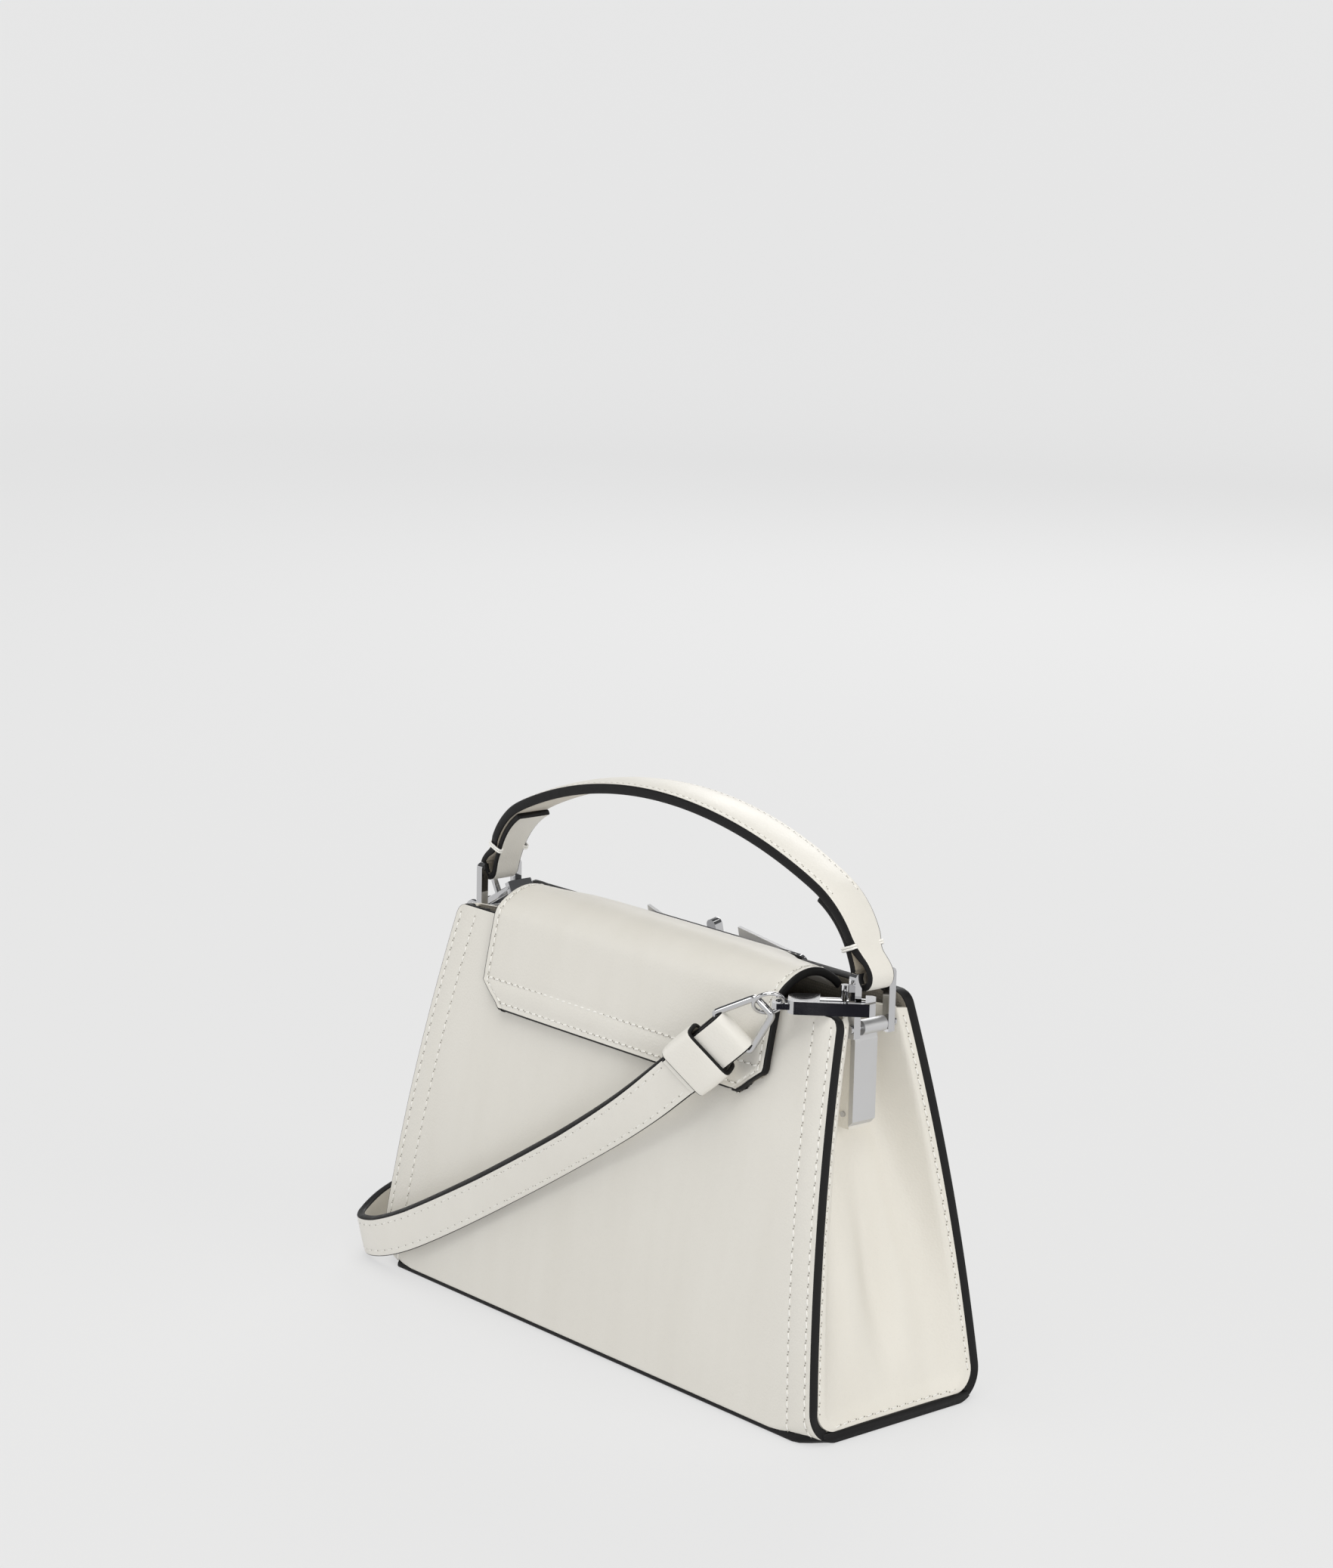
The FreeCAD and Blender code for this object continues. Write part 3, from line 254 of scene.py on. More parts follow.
def leather(name, light, dark, rough=(0.36, 0.5), grain=1.0):
    """Smooth leather: fine cells, soft pores darkened with painted shade, a little unevenness of colour."""
    m = Nodes(name)
    cells = m.cells(1150.0)
    fine = m.noise(2600.0, 2.0)
    broad = m.noise(70.0, 3.0, 0.55)
    wide = m.noise(16.0, 2.0)
    streak = m.node("ShaderNodeTexNoise", Scale=90.0, Detail=2.0, Roughness=0.5)
    squeeze = m.node("ShaderNodeVectorMath")
    squeeze.operation = "MULTIPLY"
    squeeze.inputs[1].default_value = (1.0, 1.0, 0.06)
    m.join(m.where, squeeze.inputs[0])
    m.join(squeeze.outputs[0], streak.inputs["Vector"])
    tone = m.span(m.add(m.add(streak.outputs["Fac"], 0.6, "MULTIPLY"), m.add(wide, 0.4, "MULTIPLY")), 0.36, 0.64, 0, 1)
    colour = m.blend(tone, light, dark)
    # the pits of the grain are darkened in colour: painted shade in the pores
    pit_shade = m.span(cells, 0.0, 0.28, 0.25, 0.0)
    colour = m.blend(pit_shade, colour, tuple(0.86 * c for c in dark))
    height = m.add(m.add(cells, 0.7, "MULTIPLY"), m.add(fine, 0.35, "MULTIPLY"))
    low = m.bump(broad, 0.05, 0.0012)
    m.set(
        Base_Color=colour,
        Roughness=m.span(m.add(m.add(fine, 0.5, "MULTIPLY"), m.add(broad, 0.5, "MULTIPLY")), 0.3, 0.7, *rough),
        Normal=m.bump(height, 0.24 * grain, 0.0003, low),
        IOR=1.46,
    )
    m.bsdf.inputs["Specular IOR Level"].default_value = 0.42
    m.bsdf.inputs["Subsurface Weight"].default_value = 0.0
    return m.mat


def edge_paint():
    m = Nodes("edge_paint_black")
    n, w = m.noise(420.0, 3.0), m.noise(90.0, 2.0)
    m.set(
        Base_Color=m.blend(n, (0.004, 0.004, 0.0045), (0.009, 0.0085, 0.0085)),
        Roughness=m.span(n, 0.3, 0.7, 0.42, 0.56),
        Normal=m.bump(m.add(m.add(n, 0.5, "MULTIPLY"), w), 0.08, 0.0004),
    )
    m.bsdf.inputs["Specular IOR Level"].default_value = 0.2
    return m.mat


def thread():
    m = Nodes("thread_white")
    wave = m.node("ShaderNodeTexWave", Scale=520.0, Distortion=1.5)
    wave.bands_direction = "DIAGONAL"
    m.join(m.where, wave.inputs["Vector"])
    n = m.noise(900.0, 2.0)
    m.set(
        Base_Color=m.blend(n, (0.88, 0.866, 0.82), (0.82, 0.805, 0.755)),
        Roughness=0.62,
        Normal=m.bump(wave.outputs["Fac"], 0.35, 0.00012),
    )
    m.bsdf.inputs["Sheen Weight"].default_value = 0.25
    return m.mat


def suede(name, light, dark):
    m = Nodes(name)
    n, f = m.noise(1500.0, 4.0, 0.7), m.noise(110.0, 3.0)
    m.set(
        Base_Color=m.blend(m.add(m.add(n, 0.6, "MULTIPLY"), m.add(f, 0.4, "MULTIPLY")), light, dark),
        Roughness=0.93,
        Normal=m.bump(n, 0.35, 0.0003),
    )
    m.bsdf.inputs["Sheen Weight"].default_value = 0.35
    m.bsdf.inputs["Specular IOR Level"].default_value = 0.2
    return m.mat


def chrome(name, colour=(0.60, 0.60, 0.61), rough=(0.04, 0.10)):
    m = Nodes(name)
    n, s = m.noise(60.0, 3.0), m.noise(1900.0, 2.0)
    m.set(
        Base_Color=m.blend(n, colour, tuple(0.94 * c for c in colour)),
        Metallic=1.0,
        Roughness=m.span(n, 0.3, 0.7, *rough),
        Normal=m.bump(s, 0.02, 0.0002),
    )
    return m.mat


def woven(name, light, dark):
    m = Nodes(name)
    out = []
    for direction in ("X", "Z"):
        w = m.node("ShaderNodeTexWave", Scale=260.0, Distortion=0.6)
        w.bands_direction = direction
        m.join(m.where, w.inputs["Vector"])
        out.append(w.outputs["Fac"])
    both = m.add(out[0], out[1], "MULTIPLY")
    n = m.noise(300.0, 3.0)
    m.set(
        Base_Color=m.blend(m.add(m.add(both, 0.6, "MULTIPLY"), m.add(n, 0.4, "MULTIPLY")), dark, light),
        Roughness=0.85,
        Normal=m.bump(both, 0.4, 0.0002),
    )
    return m.mat


IVORY = leather("leather_ivory", (0.735, 0.712, 0.655), (0.715, 0.691, 0.632))
# a lighter copy of the ivory leather for the strap and its ends: painted light that brightens the strap, which takes
# less light than the panels
IVORY_STRAP_LIT = leather("leather_ivory_strap_lit", (0.785, 0.762, 0.705), (0.765, 0.741, 0.682))
IVORY_SOFT = leather("leather_ivory_soft", (0.750, 0.722, 0.655), (0.725, 0.696, 0.628), (0.40, 0.54), 0.8)
BACK = leather("leather_back", (0.66, 0.63, 0.56), (0.61, 0.58, 0.51), (0.5, 0.65), 0.6)
EDGE = edge_paint()
THREAD = thread()
SUEDE = suede("suede_beige", (0.50, 0.45, 0.36), (0.42, 0.37, 0.29))
LINING = woven("lining_cloth", (0.30, 0.27, 0.22), (0.21, 0.19, 0.155))
CHROME = chrome("chrome_bright")
CHROME_SATIN = chrome("chrome_soft", (0.66, 0.66, 0.665), (0.42, 0.5))
# dark discs at the stitch ends: painted shade of the needle holes
HOLE_SHADE = suede("needle_hole_shade", (0.30, 0.275, 0.23), (0.23, 0.21, 0.175))
STEEL = chrome("magnet_steel", (0.55, 0.55, 0.56), (0.3, 0.42))


# ------------------------------------------------------- stitches and sheets
def stitches(name, path, normals, body, pitch=3.1, length=2.35, radius=0.34, slant=7.0):
    """A row of sewn stitches along a line on a surface (millimetres in)."""
    path, normals = np.asarray(path, float), unit(normals)
    s = lengths(path)
    n = max(int(s[-1] / pitch), 1)
    at = (np.arange(n) + 0.5) * s[-1] / n
    c = np.stack([np.interp(at, s, path[:, i]) for i in range(3)], axis=1)
    up = unit(np.stack([np.interp(at, s, normals[:, i]) for i in range(3)], axis=1))
    d = 0.25
    fore = np.stack([np.interp(at + d, s, path[:, i]) for i in range(3)], axis=1)
    back = np.stack([np.interp(at - d, s, path[:, i]) for i in range(3)], axis=1)
    tan = unit(fore - back)
    tan = unit(tan - up * np.sum(tan * up, axis=1, keepdims=True))
    side = np.cross(up, tan)
    a = math.radians(slant)
    tan, side = tan * math.cos(a) + side * math.sin(a), side * math.cos(a) - tan * math.sin(a)
    ring, along = 7, np.array([-1.0, -0.92, -0.68, -0.3, 0.3, 0.68, 0.92, 1.0])
    local = []
    for u in along:
        r = radius * (0.30 + 0.70 * (1 - abs(u) ** 3.2))
        h = 0.10 - 0.55 * radius * abs(u) ** 3.0 * 2.0
        for k in range(ring):
            w = 2 * math.pi * k / ring
            local.append((u * length / 2, r * math.cos(w), h + 0.8 * r * math.sin(w)))
    local = np.array(local)
    verts = (
        c[:, None, :]
        + local[None, :, 0:1] * tan[:, None, :]
        + local[None, :, 1:2] * side[:, None, :]
        + local[None, :, 2:3] * up[:, None, :]
    )
    faces, m = [], len(along)
    for i in range(m - 1):
        for k in range(ring):
            a0, b0 = i * ring + k, i * ring + (k + 1) % ring
            faces.append((a0, b0, b0 + ring, a0 + ring))
    faces = np.array(faces)
    k = len(local)
    every = (faces[None] + (np.arange(n) * k)[:, None, None]).reshape(-1, 4)
    # a small dark disc at both ends of each stitch: painted shade standing in for the needle hole
    w = np.linspace(0, 2 * math.pi, 8, endpoint=False)
    hole_shade_pts = []
    for end in (-1, 1):
        mid = c + tan * (end * (length / 2 + 0.02)) + up * 0.14
        hole_shade_pts.append(
            mid[:, None, :]
            + 0.26 * np.cos(w)[None, :, None] * tan[:, None, :]
            + 0.26 * np.sin(w)[None, :, None] * side[:, None, :]
        )
    hole_shade_pts = np.concatenate(hole_shade_pts).reshape(-1, 3)
    first = n * k
    discs = [tuple(first + 8 * i + j for j in range(8)) for i in range(2 * n)]
    ob = new_object(
        name,
        np.vstack([verts.reshape(-1, 3), hole_shade_pts]) * MM,
        every.tolist() + discs,
        [THREAD, HOLE_SHADE],
        [0] * len(every) + [1] * len(discs),
    )
    if body is not None:
        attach(ob, body)
    return ob


def shell(name, outer, faces, thick, mats, bevel=0.55, weights=None, clamp=True):
    """A leather sheet from its outer surface: solid, with a rounded painted edge."""
    ob = new_object(name, np.asarray(outer) * MM, faces, mats)
    so = ob.modifiers.new("thick", "SOLIDIFY")
    if weights is not None:
        group = ob.vertex_groups.new(name="thick")
        for i, w in enumerate(weights):
            group.add([i], float(w), "REPLACE")
        so.vertex_group = "thick"
    so.thickness, so.offset = thick * MM, -1.0
    so.use_even_offset, so.use_rim, so.use_quality_normals = False, True, True
    so.material_offset, so.material_offset_rim = 1, 2
    be = ob.modifiers.new("edge", "BEVEL")
    be.width, be.segments, be.limit_method = bevel * MM, 3, "ANGLE"
    be.angle_limit, be.material = math.radians(55), 2
    be.use_clamp_overlap = clamp
    return settle(ob)


def grid_faces(rows, cols, flip=False):
    i, j = np.meshgrid(np.arange(rows - 1), np.arange(cols - 1), indexing="ij")
    a = (i * cols + j).ravel()
    f = np.stack([a, a + 1, a + cols + 1, a + cols], axis=1)
    return f[:, ::-1] if flip else f


def hump(x, at, width):
    return np.exp(-(((x - at) / width) ** 2))


# ------------------------------------------------------------------ ribbons
def ribbon(name, path, normal, width, thick, mats, dome=0.0, groove=2.1, closed=False, step_groove=0.28):
    """A leather strip with painted edges along a line (millimetres in).
    normal looks out of its outer face. mats: outer, inner, edge."""
    p, up = np.asarray(path, float), unit(normal)
    n = len(p)
    if closed:
        tan = unit(np.roll(p, -1, axis=0) - np.roll(p, 1, axis=0))
    else:
        tan = unit(np.gradient(p, axis=0))
    up = unit(up - tan * np.sum(tan * up, axis=1, keepdims=True))
    side = np.cross(tan, up)
    w = np.broadcast_to(np.asarray(width, float), (n,)) / 2
    t = np.broadcast_to(np.asarray(thick, float), (n,)) / 2
    dm = np.broadcast_to(np.asarray(dome, float), (n,))
    r = np.minimum(0.55, t * 0.5)
    marks = [-0.35, -0.15, 0.0]
    ring, kind = [], []

    def outer(a):
        g = step_groove * hump(np.abs(a), w - groove, 0.55) if groove else 0 * a
        return t + dm * (1 - (a / w) ** 2) ** 1.0 - g

    if groove:
        steps = [w - r, w - groove + 0.9, w - groove + 0.4, w - groove, w - groove - 0.4, w - groove - 0.9]
    else:
        steps = [w - r, w - 1.6]
    inner_steps = [0.62 * steps[-1], 0.3 * steps[-1]]
    across = steps + inner_steps + [0 * w] + [-x for x in inner_steps[::-1]] + [-x for x in steps[::-1]]
    for a in across:
        ring.append((a, outer(a)))
        kind.append(0)
    for a, h in ((-w + 0.3 * r, t - 0.3 * r), (-w, t - r), (-w - 0.06, 0 * t), (-w, -t + r), (-w + 0.3 * r, -t + 0.3 * r)):
        ring.append((a, h + (dm * 0 if True else 0)))
        kind.append(2)
    for a in (-w + r, -0.5 * w, 0 * w, 0.5 * w, w - r):
        ring.append((a, -t + 0 * a))
        kind.append(1)
    for a, h in ((w - 0.3 * r, -t + 0.3 * r), (w, -t + r), (w + 0.06, 0 * t), (w, t - r), (w - 0.3 * r, t - 0.3 * r)):
        ring.append((a, h))
        kind.append(2)
    k = len(ring)
    verts = np.empty((n, k, 3))
    for j, (a, h) in enumerate(ring):
        verts[:, j] = p + side * np.asarray(a)[:, None] + up * np.asarray(h)[:, None]
    faces, index = [], []
    for i in range(n if closed else n - 1):
        i2 = (i + 1) % n
        for j in range(k):
            j2 = (j + 1) % k
            faces.append((i * k + j, i2 * k + j, i2 * k + j2, i * k + j2))
            index.append(2 if 2 in (kind[j], kind[j2]) else kind[j])
    if not closed:
        faces.append(tuple(range(k)))
        faces.append(tuple((n - 1) * k + j for j in reversed(range(k))))
        index += [2, 2]
    ob = new_object(name, verts.reshape(-1, 3) * MM, faces, mats, index)
    return ob, side, up


def rows_on(path, up, side, half, thick, inset):
    """The two stitch lines of a ribbon, on its outer face."""
    half, thick = np.asarray(half), np.asarray(thick)
    out = []
    for s in (1, -1):
        out.append(path + side * (s * (half - inset))[:, None] + up * (thick / 2 - 0.18)[:, None])
    return out


def wire(name, pts, radius, mat, closed=True, ring=14):
    """A bent round wire along a line (millimetres in)."""
    p = np.asarray(pts, float)
    n = len(p)
    if closed:
        tan = unit(np.roll(p, -1, axis=0) - np.roll(p, 1, axis=0))
    else:
        tan = unit(np.gradient(p, axis=0))
    c = p.mean(axis=0)
    _, _, vt = np.linalg.svd(p - c)
    nrm = np.tile(vt[2], (n, 1))
    nrm = unit(nrm - tan * np.sum(tan * nrm, axis=1, keepdims=True))
    bi = np.cross(tan, nrm)
    a = np.linspace(0, 2 * math.pi, ring, endpoint=False)
    verts = p[:, None, :] + radius * (np.cos(a)[None, :, None] * nrm[:, None, :] + np.sin(a)[None, :, None] * bi[:, None, :])
    faces = []
    for i in range(n if closed else n - 1):
        i2 = (i + 1) % n
        for j in range(ring):
            j2 = (j + 1) % ring
            faces.append((i * ring + j, i * ring + j2, i2 * ring + j2, i2 * ring + j))
    if not closed:
        faces.append(tuple(reversed(range(ring))))
        faces.append(tuple((n - 1) * ring + j for j in range(ring)))
    return new_object(name, verts.reshape(-1, 3) * MM, faces, [mat])


def own(ob, body, *replaced, slot="ivory_leather"):
    if replaced:
        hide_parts(*replaced)
    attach(ob, body)
    return ob


# ---------------------------------------------------------------- the strap
# The route of the strap, from the right strap ring to the left one, and the
# way its outer face looks at each point.
ROUTE = [
    (-0.066174, 0.032607, 0.128179),
    (-0.047914, 0.038098, 0.111247),
    (-0.0263, 0.0398, 0.0936),
    (0.0037, 0.041, 0.0734),
    (0.0468, 0.0435, 0.0466),
    (0.087, 0.0455, 0.0234),
    (0.1075, 0.0463, 0.0136),
    (0.122, 0.0452, 0.0098),
    (0.1315, 0.038, 0.0095),
    (0.1375, 0.022, 0.0142),
    (0.1395, -0.003, 0.0185),
    (0.1355, -0.027, 0.0155),
    (0.122, -0.0455, 0.0104),
    (0.096, -0.0535, 0.009),
    (0.052, -0.0545, 0.009),
    (0.008, -0.054, 0.009),
    (-0.019, -0.0555, 0.009),
    (-0.0315, -0.068, 0.009),
    (-0.0315, -0.0857, 0.009),
    (-0.019, -0.0982, 0.009),
    (0.004, -0.098, 0.009),
    (0.034, -0.081, 0.009),
    (0.06, -0.065, 0.009),
    (0.084, -0.0609, 0.009),
    (0.108, -0.0603, 0.0092),
    (0.131, -0.053, 0.0124),
    (0.1445, -0.038, 0.0205),
    (0.146, -0.023, 0.033),
    (0.1405, -0.0125, 0.047),
    (0.1335, -0.0076, 0.06),
    (0.12779, -0.0062, 0.081131),
    (0.12524, -0.0062, 0.106503),
]
FACE = [
    (-0.4681, 0.8538, -0.2279),
    (-0.4681, 0.8538, -0.2279),
    (-0.46, 0.78, -0.42),
    (-0.466, 0.718, -0.515),
    (-0.42, 0.75, -0.51),
    (-0.2, 0.86, -0.47),
    (0.1, 0.9, -0.4),
    (0.42, 0.87, -0.26),
    (0.82, 0.56, -0.1),
    (1, 0.15, 0),
    (1, -0.1, 0),
    (0.85, -0.53, 0),
    (0.5, -0.87, 0),
    (0.12, -1, 0),
    (0, -1, 0),
    (0, -1, 0),
    (0.38, -0.92, 0),
    (0.92, -0.38, 0),
    (0.92, 0.38, 0),
    (0.38, 0.92, 0),
    (-0.26, 0.97, 0),
    (-0.5, 0.87, 0),
    (-0.36, 0.93, 0),
    (-0.1, 0.99, 0),
    (-0.16, 0.99, 0),
    (-0.55, 0.84, 0),
    (-0.91, 0.41, 0),
    (-1, 0.1, 0),
    (-1, 0, -0.1),
    (-1, 0, -0.1),
    (-1, 0, -0.1),
    (-1, 0, -0.1),
]
STRAP_W, STRAP_T = 16.0, 3.0


def spline_points():
    cu = bpy.data.curves.new("strap_line", "CURVE")
    cu.dimensions = "3D"
    sp = cu.splines.new("NURBS")
    sp.points.add(len(ROUTE) - 1)
    for pt, co in zip(sp.points, ROUTE):
        pt.co = (*co, 1.0)
    sp.order_u = 3
    sp.use_endpoint_u = True
    sp.resolution_u = 12
    ob = bpy.data.objects.new("strap_line", cu)
    SCENE.collection.objects.link(ob)
    bpy.context.view_layer.update()
    me = bpy.data.meshes.new_from_object(ob)
    pts = np.array([v.co for v in me.vertices])
    bpy.data.meshes.remove(me)
    bpy.data.objects.remove(ob)
    bpy.data.curves.remove(cu)
    keep = np.concatenate([[True], np.linalg.norm(np.diff(pts, axis=0), axis=1) > 1e-6])
    return pts[keep]


def make_strap():
    pts = spline_points() / MM
    s = lengths(pts)
    # the face direction of the route point that lies nearest along the strap
    route = np.array(ROUTE) / MM
    near = [int(np.argmin(np.linalg.norm(pts - r, axis=1))) for r in route]
    near[0], near[-1] = 0, len(pts) - 1
    at = s[near]
    face = np.stack([np.interp(s, at, np.array(FACE, float)[:, i]) for i in range(3)], axis=1)
    ob, side, up = ribbon("strap_leather", pts, face, STRAP_W, STRAP_T, [IVORY_STRAP_LIT, BACK, EDGE], dome=0.25, groove=2.5, step_groove=0.10)
    own(ob, "shell", "strap")
    n = len(pts)
    trim = (s > 26) & (s < s[-1] - 26)
    extra = []
    for i, row in enumerate(rows_on(pts, up, side, np.full(n, STRAP_W / 2), np.full(n, STRAP_T + 0.2), 2.5)):
        extra.append(stitches("strap_stitches_%d" % i, row[trim], up[trim], "shell", pitch=4.4, length=3.2, radius=0.24))
    return ob, pts, s[-1], extra


strap, strap_pts, strap_len, strap_extra = make_strap()

BAR_R, E_R, W_R = np.array([-67.177, 32.306, 129.108]), unit([0.71607, 0.21532, -0.66399]), unit([0.51822, 0.4733, 0.71235])
BAR_L, E_L, W_L = np.array([125.1, -6.2, 107.896]), unit([0.1, 0.0, -0.995]), np.array([0.0, 1.0, 0.0])
FACE_R, FACE_L = unit([-0.4681, 0.8538, -0.2279]), unit([-0.995, 0.0, -0.1])


def strap_end(side, bar, e, face):
    """The turned end of the strap round its ring, and the keeper over it."""
    lift = STRAP_T / 2 + 1.15
    line = [bar + e * 26.2 + face * lift, bar + e * 9.0 + face * lift, bar + e * 4.0 + face * lift]
    a = np.linspace(math.pi / 2, -math.pi / 2, 13)
    r = 2.55
    line += [bar + face * (r * math.sin(x)) - e * (r * math.cos(x)) for x in a]
    line += [bar + e * 4.0 - face * lift, bar + e * 8.4 - face * lift]
    p = smooth_line(np.array(line), 1.2, 0.6)
    t = unit(np.gradient(p, axis=0))
    across = np.cross(e, face)
    nrm = np.cross(t, across)
    if np.dot(nrm[0], face) < 0:
        nrm = -nrm
    ob, sd, up = ribbon("strap_turned_end_" + side, p, nrm, 15.4, 2.0, [IVORY_STRAP_LIT, SUEDE, EDGE], dome=0.15, groove=0)
    own(ob, "shell", "strap_fold_" + side)
    # the keeper, a flat band closed round the strap
    hw, lo, hi, c = 9.5, -STRAP_T / 2 - 1.25, STRAP_T / 2 + 3.2, 16.6
    box = [(hw, lo), (hw, hi), (-hw, hi), (-hw, lo)]
    ring = smooth_line(np.array(resample(np.array(box, float), 0.5, True)), 1.3, 0.7, closed=True)
    centre = ring.mean(axis=0)
    q = np.array([bar + e * c + across * a_ + face * h_ for a_, h_ in ring])
    tq = unit(np.roll(ring, -1, axis=0) - np.roll(ring, 1, axis=0))
    out = np.stack([tq[:, 1], -tq[:, 0]], axis=1)
    if np.sum(out * (ring - centre)) < 0:
        out = -out
    on = out[:, 0:1] * across + out[:, 1:2] * face
    kp, _, _ = ribbon("strap_keeper_band_" + side, q, on, 14.0, 1.6, [IVORY_STRAP_LIT, SUEDE, EDGE], dome=0.25, groove=0, closed=True)
    own(kp, "shell", "strap_keeper_" + side)
    return [ob, kp]


strap_extra += strap_end("right", BAR_R, E_R, FACE_R)
strap_extra += strap_end("left", BAR_L, E_L, FACE_L)


def make_tie():
    ring = smooth_line(resample(np.array([(-64.5, 0.6), (-50.5, 0.6), (-50.5, 17.6), (-64.5, 17.6)], float), 0.5, True), 1.0, 0.8, closed=True)
    c = ring.mean(axis=0)
    q = np.stack([np.full(len(ring), 84.5), ring[:, 0], ring[:, 1]], axis=1)
    tq = unit(np.roll(ring, -1, axis=0) - np.roll(ring, 1, axis=0))
    out = np.stack([tq[:, 1], -tq[:, 0]], axis=1)
    if np.sum(out * (ring - c)) < 0:
        out = -out
    on = np.stack([np.zeros(len(ring)), out[:, 0], out[:, 1]], axis=1)
    ob, _, _ = ribbon("strap_tie_band", q, on, 9.0, 1.0, [IVORY, SUEDE, EDGE], groove=0, closed=True)
    own(ob, "shell", "strap_tie")
    return ob


strap_extra.append(make_tie())


# the strap rings, bent from round wire, and the model's round links and clips
def strap_ring(side, bar, e, w):
    half, tip, ln = 8.9, 4.1, 16.6
    pts = [(-half, 0), (half, 0), (tip, ln), (-tip, ln)]
    ring = smooth_line(resample(np.array(pts, float), 0.4, True), 1.1, 0.5, closed=True)
    q = np.array([bar + w * a - e * b for a, b in ring])
    ob = wire("strap_ring_wire_" + side, q, 1.25, CHROME)
    return own(ob, "shell", "strap_ring_" + side, slot="bright_chrome")


strap_extra.append(strap_ring("right", BAR_R, E_R, W_R))
strap_extra.append(strap_ring("left", BAR_L, E_L, W_L))
for side in ("right", "left"):
    for kind in ("round_link_", "clip_frame_", "clip_bolt_"):
        strap_extra.append(NODES[kind + side])


# --------------------------------------------------------------- the panels
END_X, LEAN, FOOT = 119.9, math.radians(4.76), 1.6


def corner(x):
    """Radius of the bottom edge front to back: sharp in the middle, round at the ends."""
    u = min(max((abs(x) - 100.0) / 20.0, 0.0), 1.0)
    return 2.6 + 8.9 * u**1.5


def wall_y(z, top_y, top_z):
    w = arc((39.6, 8.0), (top_y, top_z), 757.0, -1, 120)
    return np.where(z < 8.0, 39.6 + (8.0 - z) * math.tan(LEAN), np.interp(z, w[:, 1], w[:, 0]))


def heel(x, top_y, top_z):
    """Centre of the bottom edge's rounding, its radius and where the wall starts."""
    r = corner(x)
    z_t = r * (1 + math.sin(LEAN))
    return float(wall_y(z_t, top_y, top_z)) - r * math.cos(LEAN), r, z_t


def outer_y(x, z, top_y, top_z):
    yc, r, z_t = heel(x, top_y, top_z)
    if z >= z_t:
        return float(wall_y(z, top_y, top_z))
    return yc + math.sqrt(max(r * r - (r - z) ** 2, 0.0))


def section(x, top_y, top_z, high):
    """Outer face of a panel from its foot to its top edge: points and normals."""
    yc, r, z_t = heel(x, top_y, top_z)
    a = np.linspace(math.asin(FOOT / r - 1), LEAN, 10)
    low = np.stack([yc + r * np.cos(a), r + r * np.sin(a)], axis=1)
    z = z_t + (top_z - z_t) * high
    p = np.vstack([low, np.stack([wall_y(z, top_y, top_z), z], axis=1)])
    t = unit(np.gradient(p, axis=0))
    return p, np.stack([t[:, 1], -t[:, 0]], axis=1)


def side_line(z, top_z):
    return END_X + z * (103.0 - END_X) / (top_z - 4)


def half_width(z, top_z):
    high = arc((103.0, top_z - 4), (98.5, top_z), 4.6, -1, 16)
    return float(np.where(z < top_z - 4, side_line(z, top_z), np.interp(z, high[:, 1], high[:, 0])))


SEAMS = (2.8, 11.2)


